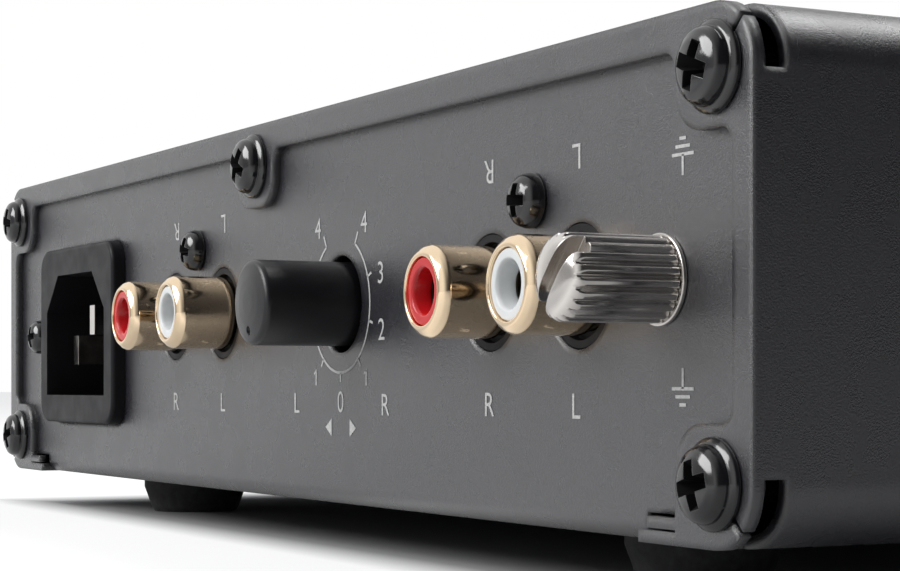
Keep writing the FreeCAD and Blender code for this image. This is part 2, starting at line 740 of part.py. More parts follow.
def make_socket_block(label, middle):
    """Moulded block that carries a pair of sockets behind the panel and stands on the board."""
    width = s.socket_pitch + 2 * s.socket_hole + s.sheet * 4
    back = rear - s.sheet - s.block_depth
    top = axis_z + s.socket_screw_rise + s.screw_dome
    blank = box(f"{label}_blank", (middle - width / 2, back, board_top), width, s.block_depth, top - board_top)
    rings = []
    holes = []
    for side in (-1, 1):
        x = middle + s.socket_pitch / 2 * side
        ring_radius = s.socket_hole - s.hole_gap * 2
        rings.append(rod(f"{label}_ring_{side + 1}", (x, rear - s.sheet - CLEAR, axis_z), ring_radius,
                         s.sheet + CLEAR - s.hole_gap * 2, TURN_TO_Y))
        holes.append(rod(f"{label}_recess_{side + 1}", (x, rear - s.sheet, axis_z), s.ring_bore,
                         s.sheet + CLEAR, TURN_TO_Y))
        holes.append(rod(f"{label}_bore_{side + 1}", (x, back - CLEAR, axis_z), s.shell_seat + s.hole_gap,
                         s.block_depth + s.sheet + 2 * CLEAR, TURN_TO_Y))
    holes.append(rod(f"{label}_screw_hole", (middle, back - CLEAR, axis_z + s.socket_screw_rise),
                     s.screw_shank + s.hole_gap, s.block_depth + s.sheet + 2 * CLEAR, TURN_TO_Y))
    keep(cut(label, fused(f"{label}_moulding", [blank] + rings), holes), label)


def make_balance():
    """Balance control: knob on a shaft with a flat, in a bush on the control's body."""
    end = s.knob_proud
    bore_end = end - s.shell_wall * 2
    knob = new_body("balance_knob", (-s.balance_place, rear, axis_z))
    sketch = new_sketch(knob, "profile", "XY_Plane")
    add_loop(sketch, (
        (0, bore_end),
        (s.shaft_radius + s.hole_gap, bore_end),
        (s.shaft_radius + s.hole_gap, -s.knob_sunk),
        (s.knob_radius, -s.knob_sunk),
        (s.knob_radius, end - s.knob_round * 0.25),
        (0, end),
    ))
    feature(knob, "Revolution", "turned", sketch)

    def rim(edge):
        round_edge = isinstance(edge.Curve, Part.Circle)
        return round_edge and near(edge.Curve.Radius, s.knob_radius) and edge.CenterOfMass.y > 0

    round_edges(knob, "rim", "Fillet", s.knob_round, rim)
    sketch = new_sketch(knob, "pointer", "XZ_Plane", -end - CLEAR)
    add_circle(sketch, 0, -s.knob_radius * 0.66, s.knob_radius * 0.13)
    feature(knob, "Pocket", "pointer", sketch, CLEAR + s.knob_round * 0.8, True)
    keep(knob, "balance_knob")

    bush_face = -s.knob_sunk - s.sheet * 0.3
    pot_face = -s.sheet - s.pot_depth
    shaft_start = pot_face - s.pot_depth * 0.5
    shaft = new_body("balance_shaft", (-s.balance_place, rear, axis_z))
    sketch = new_sketch(shaft, "round", "XZ_Plane", -shaft_start)
    add_circle(sketch, 0, 0, s.shaft_radius)
    feature(shaft, "Pad", "bar", sketch, bore_end - s.hole_gap * 2 - shaft_start, True)
    sketch = new_sketch(shaft, "flat", "XZ_Plane", -bore_end)
    add_box(sketch, -s.knob_radius, s.shaft_radius * 0.5, s.knob_radius, s.knob_radius)
    feature(shaft, "Pocket", "flat", sketch, bore_end * 0.9, True)
    keep(shaft, "balance_shaft")

    place_at = (-s.balance_place - s.pot_side / 2, rear + pot_face - s.pot_depth, axis_z - s.pot_side / 2)
    can = box("pot_can", place_at, s.pot_side, s.pot_depth, s.pot_side)
    bush = rod("pot_bush", (-s.balance_place, rear + pot_face - s.sheet, axis_z), s.bush_radius,
               bush_face - pot_face + s.sheet, TURN_TO_Y)
    bore = rod("pot_bore", (-s.balance_place, rear + shaft_start - s.hole_gap * 2, axis_z),
               s.shaft_radius + s.hole_gap, s.pot_depth * 3, TURN_TO_Y)
    keep(cut("balance_pot", fused("pot_solid", [can, bush]), [bore]), "balance_pot")

    height = axis_z - s.pot_side / 2 - board_top
    thick = s.sheet * 0.8
    y = rear + pot_face - s.pot_depth / 2
    pin = box("pot_pin_model", (0, 0, 0), thick, thick, height)
    spread = s.pot_side / 4
    copies("balance_pot_pins", pin, [
        (-s.balance_place - thick / 2 + spread * side, y, board_top) for side in (-1, 0, 1)
    ])


def make_ground():
    """Ground terminal: fluted thumb screw, its washer, a threaded bush, a tag and a wire."""
    start = s.washer_thick
    end = start + s.post_length
    dome_start = end - s.post_dome
    screw = new_body("ground_screw", (ground_x, rear, axis_z))
    sketch = new_sketch(screw, "profile", "XY_Plane")
    add_loop(sketch, (
        (0, start - s.post_reach),
        (s.post_shank, start - s.post_reach),
        (s.post_shank, start),
        (s.post_radius, start),
        (s.post_radius, dome_start),
        (s.post_radius * 0.86, end - s.post_dome * 0.4),
        (s.post_radius * 0.5, end - s.post_dome * 0.08),
        (0, end),
    ))
    feature(screw, "Revolution", "turned", sketch)
    sketch = new_sketch(screw, "flute", "XZ_Plane", -dome_start)
    add_circle(sketch, s.post_radius + s.flute_radius * 0.35, 0, s.flute_radius)
    flute = feature(screw, "Pocket", "flute", sketch, s.post_length - s.post_dome - s.sheet * 0.6, True)
    pattern = screw.newObject("PartDesign::PolarPattern", "ground_screw_flutes")
    pattern.Originals = [flute]
    pattern.Axis = (sketch, ["N_Axis"])
    pattern.Angle = 360.0
    pattern.Occurrences = FLUTES
    screw.Tip = pattern
    doc.recompute()
    sketch = new_sketch(screw, "slot", "XZ_Plane", -end - CLEAR)
    add_box(sketch, -s.slot_width / 2, -s.post_radius - CLEAR, s.slot_width / 2, s.post_radius + CLEAR)
    feature(screw, "Pocket", "slot", sketch, s.slot_depth + CLEAR, True)
    keep(screw, "ground_screw")

    washer = spun("ground_washer", (
        (s.post_shank + s.hole_gap, s.hole_gap),
        (s.washer_radius, s.hole_gap),
        (s.washer_radius, start - s.sheet * 0.3),
        (s.washer_radius - s.sheet * 0.3, start - s.hole_gap),
        (s.post_shank + s.hole_gap, start - s.hole_gap),
    ), (ground_x, rear, axis_z))
    keep(washer, "ground_washer")

    sleeve = s.post_shank + s.sheet
    collar = sleeve + s.sheet * 1.4
    bush = spun("ground_bush", (
        (s.post_shank + s.hole_gap, -s.sheet * 5),
        (sleeve, -s.sheet * 5),
        (sleeve, -s.sheet * 3),
        (collar, -s.sheet * 3),
        (collar, -s.sheet),
        (sleeve, -s.sheet),
        (sleeve, -s.hole_gap),
        (s.post_shank + s.hole_gap, -s.hole_gap),
    ), (ground_x, rear, axis_z))
    keep(bush, "ground_bush")

    tag_y = rear - s.sheet * 3.6
    thick = s.sheet * 0.6
    ring = rod("tag_ring", (ground_x, tag_y, axis_z), collar, thick, TURN_TO_Y)
    tail_drop = collar + s.sheet * 4
    tail = box("tag_tail", (ground_x - s.sheet, tag_y, axis_z - tail_drop), s.sheet * 2, thick, tail_drop)
    hole = rod("tag_hole", (ground_x, tag_y - CLEAR, axis_z), sleeve + s.hole_gap, thick + 2 * CLEAR, TURN_TO_Y)
    keep(cut("ground_tag", fused("tag_blank", [ring, tail]), [hole]), "ground_tag")
    end_z = axis_z - tail_drop + s.wire_radius
    keep(wire("ground_wire", (ground_x, tag_y, end_z), board_top, s.sheet * 4), "ground_wire")


def wire(name, start, low, reach):
    """A wire that leaves backwards from its start, bends once and goes down to a height."""
    x, y, z = start
    radius = s.wire_radius
    bend = radius * 2.5
    run = rod(f"{name}_run", (x, y - reach + bend, z), radius, reach - bend, TURN_TO_Y)
    elbow = doc.addObject("Part::Torus", f"{name}_elbow")
    bind(elbow, "Radius1", bend)
    bind(elbow, "Radius2", radius)
    elbow.Angle3 = 90
    place(elbow, (x, y - reach + bend, z - bend), TOP_TO_BACK)
    drop = rod(f"{name}_drop", (x, y - reach, low), radius, z - bend - low)
    return fused(name, [run, elbow, drop])


def make_inlet():
    """Mains inlet: moulding with a cavity and flange, three pins, screws, nuts and wires."""
    body = new_body("mains_inlet", (inlet_x, rear, inlet_z))
    sketch = new_sketch(body, "collar", "XZ_Plane", -s.collar_proud)
    add_box(sketch, -s.collar_width / 2, -s.collar_height / 2, s.collar_width / 2, s.collar_height / 2)
    total = s.cavity_depth + s.sheet * 1.5
    feature(body, "Pad", "moulding", sketch, total)
    corners = [(s.collar_width / 2 * a, s.collar_height / 2 * b) for a in (1, -1) for b in (1, -1)]
    round_edges(body, "corners", "Fillet", s.collar_round, along_y_at(*corners))

    def on_face(edge):
        return near(edge.BoundBox.YMin, s.collar_proud) and near(edge.BoundBox.YMax, s.collar_proud)

    round_edges(body, "face_edge", "Fillet", s.collar_proud * 0.3, on_face)
    sketch = new_sketch(body, "flange", "XZ_Plane", s.sheet)
    flange_z = s.collar_height / 2 + s.sheet
    add_box(sketch, -s.inlet_flange / 2, -flange_z, s.inlet_flange / 2, flange_z)
    feature(body, "Pad", "flange", sketch, s.sheet * 2.5)
    sketch = new_sketch(body, "cavity", "XZ_Plane", -s.collar_proud - CLEAR)
    a, b, c = s.cavity_width / 2, s.cavity_height / 2, s.cavity_cut
    add_loop(sketch, ((-a, -b), (a, -b), (a, b - c), (a - c, b), (-a + c, b), (-a, b - c)))
    feature(body, "Pocket", "cavity", sketch, s.cavity_depth + CLEAR, True)
    sketch = new_sketch(body, "pin_slots", "XZ_Plane", 0)
    for x, z in inlet_pin_spots():
        add_box(
            sketch,
            x - s.pin_thick / 2 - s.hole_gap, z - s.pin_high / 2 - s.hole_gap,
            x + s.pin_thick / 2 + s.hole_gap, z + s.pin_high / 2 + s.hole_gap,
        )
    feature(body, "Pocket", "pin_slots", sketch, s.cavity_depth + s.sheet * 4, True)
    sketch = new_sketch(body, "screw_holes", "XZ_Plane", -CLEAR)
    for sign in (-1, 1):
        add_circle(sketch, s.inlet_screws_apart / 2 * sign, 0, s.screw_shank + s.hole_gap)
    feature(body, "Pocket", "screw_holes", sketch, s.sheet * 6, True)
    keep(body, "mains_inlet")

    back = s.collar_proud - total - s.sheet * 4
    tip = s.collar_proud - s.sheet * 2.5
    pins = []
    for number, (x, z) in enumerate(inlet_pin_spots(), start=1):
        corner = (inlet_x + x - s.pin_thick / 2, rear + back, inlet_z + z - s.pin_high / 2)
        pins.append(box(f"inlet_pin_{number}", corner, s.pin_thick, tip - back, s.pin_high))
    group = doc.addObject("Part::Compound", "inlet_pins")
    group.Links = pins
    keep(group, "inlet_pins")

    bar = hexagon("inlet_nut_bar", (0, 0, 0), s.screw_dome, s.sheet * 2, TURN_TO_Y)
    hole = rod("inlet_nut_hole", (0, -CLEAR, 0), s.screw_shank + s.hole_gap, s.sheet * 2 + 2 * CLEAR, TURN_TO_Y)
    nut = cut("inlet_nut_model", bar, [hole])
    nut_y = rear - s.sheet * 5.5
    copies("inlet_nuts", nut, [(x, nut_y, inlet_z) for x in inlet_screw_places])

    wires = []
    for number, (x, z) in enumerate(inlet_pin_spots()[:2], start=1):
        begin = (inlet_x + x, rear + back, inlet_z + z)
        wires.append(wire(f"mains_wire_{number}", begin, board_top, s.sheet * 5))
    group = doc.addObject("Part::Compound", "mains_wires")
    group.Links = wires
    keep(group, "mains_wires")
    begin = (inlet_x, rear + back, inlet_z + s.earth_rise / 2)
    keep(wire("earth_wire", begin, board_top, s.sheet * 10), "earth_wire")


def inlet_pin_spots():
    """Live, neutral and earth from the middle of the inlet."""
    low = -s.earth_rise / 2
    return ((-s.pin_apart, low), (s.pin_apart, low), (Size(0, "(0.0)"), s.earth_rise / 2))


def make_front_controls():
    """Power button with its plunger, the switch behind it, and the lamp with its leads."""
    x = button_x
    collar = s.button_radius + s.sheet
    tip = -s.fascia_thick - s.button_proud
    button = new_body("power_button", (x, front, axis_z))
    sketch = new_sketch(button, "profile", "XY_Plane")
    add_loop(sketch, (
        (0, s.sheet),
        (collar, s.sheet),
        (collar, s.hole_gap),
        (s.button_radius, s.hole_gap),
        (s.button_radius, tip),
        (s.button_radius - s.fascia_round, tip),
        (0, tip + s.fascia_round * 0.5),
    ))
    feature(button, "Revolution", "turned", sketch)

    def rim(edge):
        return isinstance(edge.Curve, Part.Circle) and near(edge.Curve.Radius, s.button_radius) \
            and near(edge.CenterOfMass.y, tip)

    round_edges(button, "rim", "Chamfer", s.fascia_round * 0.4, rim)
    keep(button, "power_button")

    side = s.button_radius * 0.6
    plunger_length = s.button_radius * 3
    corner = (x - side / 2, front + s.sheet, axis_z - side / 2)
    keep(box("switch_plunger", corner, side, plunger_length, side), "switch_plunger")

    body_side = s.button_radius * 2
    sink = s.button_travel * 2 + s.sheet
    back = front + s.sheet + plunger_length - s.sheet * 2
    block = box("switch_block", (x - body_side / 2, back, board_top), body_side,
                body_side * 1.4, axis_z + body_side / 2 - board_top)
    gap = s.button_gap
    well = box("switch_well", (x - side / 2 - gap, back - CLEAR, axis_z - side / 2 - gap),
               side + 2 * gap, sink + s.sheet + CLEAR, side + 2 * gap)
    keep(cut("power_switch", block, [well]), "power_switch")

    lamp_x = x - s.lamp_apart
    lamp = spun("power_lamp", (
        (0, s.sheet * 3),
        (s.lamp_radius, s.sheet * 3),
        (s.lamp_radius * 1.3, s.sheet * 3),
        (s.lamp_radius * 1.3, s.hole_gap),
        (s.lamp_radius, s.hole_gap),
        (s.lamp_radius, -s.fascia_thick),
        (s.lamp_radius * 0.7, -s.fascia_thick - s.lamp_radius * 0.6),
        (0, -s.fascia_thick - s.lamp_radius),
    ), (lamp_x, front, axis_z))
    keep(lamp, "power_lamp")

    leads = []
    thick = s.lamp_radius * 0.4
    reach = s.board_margin + s.sheet * 4
    for number, side in enumerate((-1, 1), start=1):
        lead_x = lamp_x + s.lamp_radius * 0.8 * side - thick / 2
        run = box(f"lead_run_{number}", (lead_x, front + s.sheet * 3, axis_z - thick / 2), thick, reach, thick)
        drop = box(f"lead_drop_{number}", (lead_x, front + s.sheet * 3 + reach - thick, board_top),
                   thick, thick, axis_z - board_top)
        leads.append(fused(f"lead_{number}", [run, drop]))
    group = doc.addObject("Part::Compound", "lamp_leads")
    group.Links = leads
    keep(group, "lamp_leads")


def make_board():
    """Circuit board on standoffs, cut away behind the mains inlet."""
    half = half_width - s.sheet - s.board_margin
    depth = s.body_depth - 2 * s.sheet - s.board_margin - s.sheet
    corner = (-half, front + s.sheet + s.board_margin, board_z)
    blank = box("board_blank", corner, half * 2, depth, s.board_thick)
    notch_half = s.inlet_flange / 2 + s.sheet * 2
    notch_depth = s.cavity_depth + s.sheet * 7
    notch = box("board_notch", (inlet_x - notch_half, rear - notch_depth, board_z - CLEAR),
                notch_half * 2 + CLEAR * 4, notch_depth + CLEAR, s.board_thick + 2 * CLEAR)
    holes = []
    for number, (x, y) in enumerate(board_spots(), start=1):
        holes.append(rod(f"board_hole_{number}", (x, rear + y, board_z - CLEAR), s.screw_shank + s.hole_gap,
                         s.board_thick + 2 * CLEAR))
    keep(cut("main_board", blank, [notch] + holes), "main_board")

    post = cut("standoff_model", hexagon("standoff_post", (0, 0, 0), s.screw_dome, s.board_rise),
               [rod("standoff_hole", (0, 0, -CLEAR), s.screw_shank + s.hole_gap, s.board_rise + 2 * CLEAR)])
    copies("board_standoffs", post, [(x, rear + y, floor) for x, y in board_spots()])


def make_supply():
    """Mains supply on the board: fuse, transformer, rectifier, capacitors and regulators."""
    x, y = inlet_x, front + s.board_margin + s.core_stack * 3
    width, stack, height, leg = s.core_width, s.core_stack, s.core_height, s.core_leg
    window = (width - leg * 2) / 2
    core = box("core_block", (x - width / 2, y, board_top), width, stack, height)
    gaps = []
    for number, low in enumerate((x - leg / 2 - window, x + leg / 2), start=1):
        gaps.append(box(f"core_window_{number}", (low, y - CLEAR, board_top + leg / 2), window,
                        stack + 2 * CLEAR, height - leg))
    keep(cut("transformer_core", core, gaps), "transformer_core")
    gap = s.hole_gap * 2
    wind = window - gap * 2
    bobbin = box("bobbin_block", (x - leg / 2 - wind - gap, y - wind, board_top + leg / 2 + gap),
                 leg + 2 * wind + 2 * gap, stack + 2 * wind, height - leg - 2 * gap)
    hole = box("bobbin_hole", (x - leg / 2 - gap, y - gap, board_top), leg + 2 * gap, stack + 2 * gap, height)
    keep(cut("transformer_bobbin", bobbin, [hole]), "transformer_bobbin")

    fuse_x, fuse_y, fuse_r = x - s.core_width, y, s.sheet * 2.6
    fuse_length = s.core_stack * 1.45
    fuse_z = board_top + fuse_r + s.sheet
    keep(rod("mains_fuse", (fuse_x, fuse_y, fuse_z), fuse_r, fuse_length, TURN_TO_Y), "mains_fuse")
    clips = []
    for number, share in enumerate((0.08, 0.72), start=1):
        low_y = fuse_y + fuse_length * share
        width = fuse_r * 2 + s.sheet * 2
        block = box(f"clip_block_{number}", (fuse_x - width / 2, low_y, board_top), width,
                    fuse_length * 0.2, fuse_z - board_top + fuse_r * 0.7)
        bore = rod(f"clip_bore_{number}", (fuse_x, low_y - CLEAR, fuse_z), fuse_r + s.hole_gap,
                   fuse_length * 0.2 + 2 * CLEAR, TURN_TO_Y)
        mouth = box(f"clip_mouth_{number}", (fuse_x - fuse_r * 0.8, low_y - CLEAR, fuse_z), fuse_r * 1.6,
                    fuse_length * 0.2 + 2 * CLEAR, fuse_r * 2)
        clips.append(cut(f"clip_{number}", block, [bore, mouth]))
    group = doc.addObject("Part::Compound", "fuse_clips")
    group.Links = clips
    keep(group, "fuse_clips")

    can = rod("capacitor_can", (0, 0, 0), s.capacitor_radius, s.capacitor_height)
    step = s.capacitor_radius * 2 + s.sheet * 2
    row_y = front + s.board_margin + s.core_stack * 1.5
    copies("filter_capacitors", can, [(x - s.core_width * 1.5 - step * n, row_y, board_top) for n in range(4)])

    regulator = box("regulator_model", (0, 0, 0), s.sheet * 10, s.sheet * 4.5, s.sheet * 15)
    sink_base = box("sink_base", (0, 0, 0), s.sheet * 16, s.sheet * 2, s.sheet * 20)
    fins = []
    for number in range(4):
        fins.append(box(f"sink_fin_{number}", (s.sheet * 4.8 * number, s.sheet * 1.5, 0),
                        s.sheet * 1.6, s.sheet * 8, s.sheet * 20))
    sink = fused("sink_model", [sink_base] + fins)
    reg_y = row_y + s.core_stack * 2
    spots = [x - s.core_width * 1.9 - s.sheet * 24 * n for n in range(2)]
    copies("regulators", regulator, [(a, reg_y, board_top) for a in spots])
    copies("heat_sinks", sink, [(a - s.sheet * 3, reg_y + s.sheet * 4.5, board_top) for a in spots])

    diode = rod("diode_model", (0, 0, 0), s.sheet * 1.3, s.sheet * 5, TURN_TO_Y)
    copies("rectifier_diodes", diode, [
        (fuse_x - s.sheet * 6, fuse_y + s.sheet * (7 * n), board_top + s.sheet * 1.3) for n in range(4)
    ])


def make_amplifier():
    """Signal parts between the sockets and the supply."""
    y = rear - s.block_depth - s.sheet * 24
    chip = box("op_amp_model", (0, 0, 0), s.sheet * 9.6, s.sheet * 6.4, s.sheet * 4)
    copies("op_amps", chip, [(input_x + s.sheet * 22 * n, y, board_top) for n in range(3)])
    film = box("film_capacitor_model", (0, 0, 0), s.sheet * 7.2, s.sheet * 4, s.sheet * 8)
    copies("film_capacitors", film, [
        (input_x + s.sheet * (22 * n - 1), y + s.sheet * (11 * m - 10), board_top)
        for n in range(3) for m in (0, 2)
    ])
    resistor = rod("resistor_model", (0, 0, 0), s.sheet * 1.1, s.sheet * 6.5, TURN_TO_Y)
    copies("resistors", resistor, [
        (input_x + s.sheet * (22 * n + 12.5 + 3.2 * m), y, board_top + s.sheet * 1.1)
        for n in range(3) for m in range(2)
    ])


def check_document():
    """Stop when any object failed or any sub-part isn't a valid solid."""
    doc.recompute()
    for item in doc.Objects:
        if "Invalid" in item.State or "Error" in item.State:
            raise RuntimeError(f"{item.Name} failed: {item.State}")
    for item in kept:
        if item.Shape.isNull() or not item.Shape.isValid() or not item.Shape.Solids:
            raise RuntimeError(f"{item.Label} has no valid shape")


make_cover()
make_tray()
make_fascia()
make_screws()
make_feet()
for socket, across in socket_places.items():
    make_socket(socket, across)
make_socket_block("input_block", input_x)
make_socket_block("output_block", output_x)
make_balance()
make_ground()
make_inlet()
make_front_controls()
make_board()
make_supply()
make_amplifier()
check_document()

os.makedirs("parts", exist_ok=True)
for item in kept:
    item.Shape.exportStep(os.path.join("parts", f"{item.Label}.step"))
print(len(kept), "sub-parts written")
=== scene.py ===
import json
import math

import bmesh
import bpy
from mathutils import Matrix, Vector


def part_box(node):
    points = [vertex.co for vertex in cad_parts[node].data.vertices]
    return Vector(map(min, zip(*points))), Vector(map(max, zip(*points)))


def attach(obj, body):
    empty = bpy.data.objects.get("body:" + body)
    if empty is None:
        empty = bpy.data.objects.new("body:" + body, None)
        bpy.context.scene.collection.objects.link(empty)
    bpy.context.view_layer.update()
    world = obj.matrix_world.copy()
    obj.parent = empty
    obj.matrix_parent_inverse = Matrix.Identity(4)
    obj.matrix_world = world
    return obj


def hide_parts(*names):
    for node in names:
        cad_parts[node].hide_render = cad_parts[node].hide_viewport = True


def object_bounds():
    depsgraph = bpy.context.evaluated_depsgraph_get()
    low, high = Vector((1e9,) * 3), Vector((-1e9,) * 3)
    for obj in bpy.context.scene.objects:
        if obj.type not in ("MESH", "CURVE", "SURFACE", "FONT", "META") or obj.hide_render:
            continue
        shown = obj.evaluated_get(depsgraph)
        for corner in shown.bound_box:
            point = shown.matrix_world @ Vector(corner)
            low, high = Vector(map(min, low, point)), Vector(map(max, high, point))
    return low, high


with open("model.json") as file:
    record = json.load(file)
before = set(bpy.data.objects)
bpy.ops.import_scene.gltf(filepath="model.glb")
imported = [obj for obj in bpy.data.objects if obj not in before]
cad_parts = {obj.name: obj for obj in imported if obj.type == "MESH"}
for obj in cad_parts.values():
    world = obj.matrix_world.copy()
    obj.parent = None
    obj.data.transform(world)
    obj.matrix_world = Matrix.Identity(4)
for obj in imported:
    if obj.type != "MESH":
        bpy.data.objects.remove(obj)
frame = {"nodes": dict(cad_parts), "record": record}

# The looks of a small phono preamp, seen from its socket panel.
# Sizes of pieces are in millimetres and are turned into metres by MM.

MM = 0.001
cad_low, cad_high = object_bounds()
nodes = frame["nodes"]
panel_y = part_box("base_tray")[1].y
under_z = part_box("case_cover")[0].z
lip_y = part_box("case_cover")[1].y
fascia_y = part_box("front_fascia")[1].y


def middle(node):
    """Middle of a CAD node's box."""
    low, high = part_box(node)
    return (low + high) / 2


axis_z = middle("balance_shaft").z


# Materials

# Depths and edges are in metres, and the scales of noises are per metre.

MARKED_ALONG_Y = (1.0, 0.15, 1.0)
BRUSHED_ALONG_X = (0.02, 1.0, 1.0)


def new_material(name, colour, roughness, metallic=0.0):
    """A principled material, with its node tree and its shader."""
    material = bpy.data.materials.new(name)
    material.use_nodes = True
    material.diffuse_color = (*colour, 1.0)
    tree = material.node_tree
    shader = tree.nodes["Principled BSDF"]
    shader.inputs["Base Color"].default_value = (*colour, 1.0)
    shader.inputs["Roughness"].default_value = roughness
    shader.inputs["Metallic"].default_value = metallic
    return material, tree, shader


def add_node(tree, kind, **settings):
    node = tree.nodes.new(kind)
    for key, value in settings.items():
        setattr(node, key, value)
    return node


def object_space(tree, stretch=(1.0, 1.0, 1.0)):
    """Object coordinates in metres, stretched along the axes."""
    place = add_node(tree, "ShaderNodeTexCoord")
    mapping = add_node(tree, "ShaderNodeMapping")
    mapping.inputs["Scale"].default_value = stretch
    tree.links.new(place.outputs["Object"], mapping.inputs["Vector"])
    return mapping.outputs["Vector"]


def noise(tree, vector, per_metre, detail=2.0, rough=0.5):
    node = add_node(tree, "ShaderNodeTexNoise")
    node.inputs["Scale"].default_value = per_metre
    node.inputs["Detail"].default_value = detail
    node.inputs["Roughness"].default_value = rough
    tree.links.new(vector, node.inputs["Vector"])
    return node.outputs["Fac"]


def spread(tree, value, low, high, start=0.3, end=0.7):
    """Map a value from start to end onto low to high, by default the middle of a noise's range."""
    node = add_node(tree, "ShaderNodeMapRange")
    node.inputs["From Min"].default_value = start
    node.inputs["From Max"].default_value = end
    node.inputs["To Min"].default_value = low
    node.inputs["To Max"].default_value = high
    tree.links.new(value, node.inputs["Value"])
    return node.outputs["Result"]


def blend_colours(tree, value, dark, light):
    node = add_node(tree, "ShaderNodeMix", data_type="RGBA")
    node.inputs["A"].default_value = (*dark, 1.0)
    node.inputs["B"].default_value = (*light, 1.0)
    tree.links.new(value, node.inputs["Factor"])
    return node.outputs["Result"]


def shade(colour, factor):
    return tuple(min(1.0, part * factor) for part in colour)


def vary_colour(tree, shader, value, colour, dark, light):
    """Let a value from 0 to 1 take the base colour from a darker to a lighter shade."""
    mixed = blend_colours(tree, value, shade(colour, dark), shade(colour, light))
    tree.links.new(mixed, shader.inputs["Base Color"])


def vary_roughness(tree, shader, value, low, high):
    tree.links.new(spread(tree, value, low, high), shader.inputs["Roughness"])


def relief(tree, shader, height, depth, edge=0.0):
    """Bump of a depth in metres, over edges rounded by a bevel."""
    bump = add_node(tree, "ShaderNodeBump")
    bump.inputs["Strength"].default_value = 1.0
    bump.inputs["Distance"].default_value = depth
    tree.links.new(height, bump.inputs["Height"])
    if edge:
        bevel = add_node(tree, "ShaderNodeBevel", samples=6)
        bevel.inputs["Radius"].default_value = edge
        tree.links.new(bevel.outputs["Normal"], bump.inputs["Normal"])
    tree.links.new(bump.outputs["Normal"], shader.inputs["Normal"])


def powder_coat():
    """Dark grey powder coat with a fine grain, over softly folded edges."""
    colour = (0.017, 0.017, 0.022)
    material, tree, shader = new_material("case_paint", colour, 0.30)
    shader.inputs["IOR"].default_value = 2.05
    place = object_space(tree)
    grain = noise(tree, place, 6200, 3.0, 0.65)
    vary_colour(tree, shader, spread(tree, grain, 0.0, 1.0, 0.36, 0.68), colour, 0.45, 1.7)
    vary_roughness(tree, shader, noise(tree, place, 240), 0.25, 0.31)
    relief(tree, shader, grain, 0.00004, 0.0009)
    return material


def brushed_fascia():
    """Dark anodised aluminium, brushed along its length."""
    colour = (0.055, 0.056, 0.062)
    material, tree, shader = new_material("fascia", colour, 0.36, 0.75)
    lines = noise(tree, object_space(tree, BRUSHED_ALONG_X), 6500, 3.0, 0.65)
    vary_colour(tree, shader, spread(tree, lines, 0.0, 1.0), colour, 0.7, 1.5)
    vary_roughness(tree, shader, lines, 0.28, 0.46)
    relief(tree, shader, lines, 0.000012, 0.0004)
    return material


def plated(name, colour, roughness):
    """Bright plating with faint tool marks and a little haze."""
    material, tree, shader = new_material(name, colour, roughness, 1.0)
    marks = noise(tree, object_space(tree, MARKED_ALONG_Y), 2600)
    haze = noise(tree, object_space(tree), 420, 3.0)
    vary_roughness(tree, shader, haze, roughness * 0.7, roughness * 1.5)
    vary_colour(tree, shader, haze, colour, 0.9, 1.06)
    relief(tree, shader, marks, 0.000003, 0.00012)
    return material


def moulded(name, colour, roughness, gloss=0.5, grain=5200, depth=0.000012, edge=0.00015):
    """Smooth plastic or lacquer with a faint grain and slightly uneven gloss."""
    material, tree, shader = new_material(name, colour, roughness)
    shader.inputs["Specular IOR Level"].default_value = gloss
    place = object_space(tree)
    broad = noise(tree, place, 300)
    vary_roughness(tree, shader, broad, roughness * 0.86, roughness * 1.14)
    vary_colour(tree, shader, broad, colour, 0.9, 1.1)
    relief(tree, shader, noise(tree, place, grain), depth, edge)
    return material


def rubber():
    """Black rubber, dull and a little dusty."""
    colour = (0.018, 0.018, 0.019)
    material, tree, shader = new_material("foot_rubber", colour, 0.8)
    place = object_space(tree)
    dust = noise(tree, place, 900, 4.0, 0.6)
    vary_colour(tree, shader, spread(tree, dust, 0.0, 1.0), colour, 1.0, 2.4)
    relief(tree, shader, noise(tree, place, 2800), 0.00003, 0.0003)
    return material


def ink():
    """Pale screen print, slightly broken up by a grain."""
    colour = (0.56, 0.56, 0.55)
    material, tree, shader = new_material("print_ink", colour, 0.5)
    grain = noise(tree, object_space(tree), 3400, 3.0, 0.6)
    vary_colour(tree, shader, spread(tree, grain, 0.0, 1.0), colour, 0.78, 1.1)
    relief(tree, shader, grain, 0.00003)
    return material


def glazed(name, colour, roughness):
    """Clear tinted plastic or glass with small flaws."""
    material, tree, shader = new_material(name, colour, roughness)
    shader.inputs["Transmission Weight"].default_value = 0.6
    shader.inputs["IOR"].default_value = 1.5
    relief(tree, shader, noise(tree, object_space(tree), 700), 0.000004)
    return material


def board_mask():
    """Green solder mask with lighter areas where copper lies under it."""
    colour = (0.012, 0.085, 0.03)
    material, tree, shader = new_material("board_green", colour, 0.35)
    pours = noise(tree, object_space(tree), 90, 1.0)
    vary_colour(tree, shader, spread(tree, pours, 0.0, 1.0, 0.47, 0.53), colour, 1.0, 1.7)
    relief(tree, shader, pours, 0.00002)
    return material


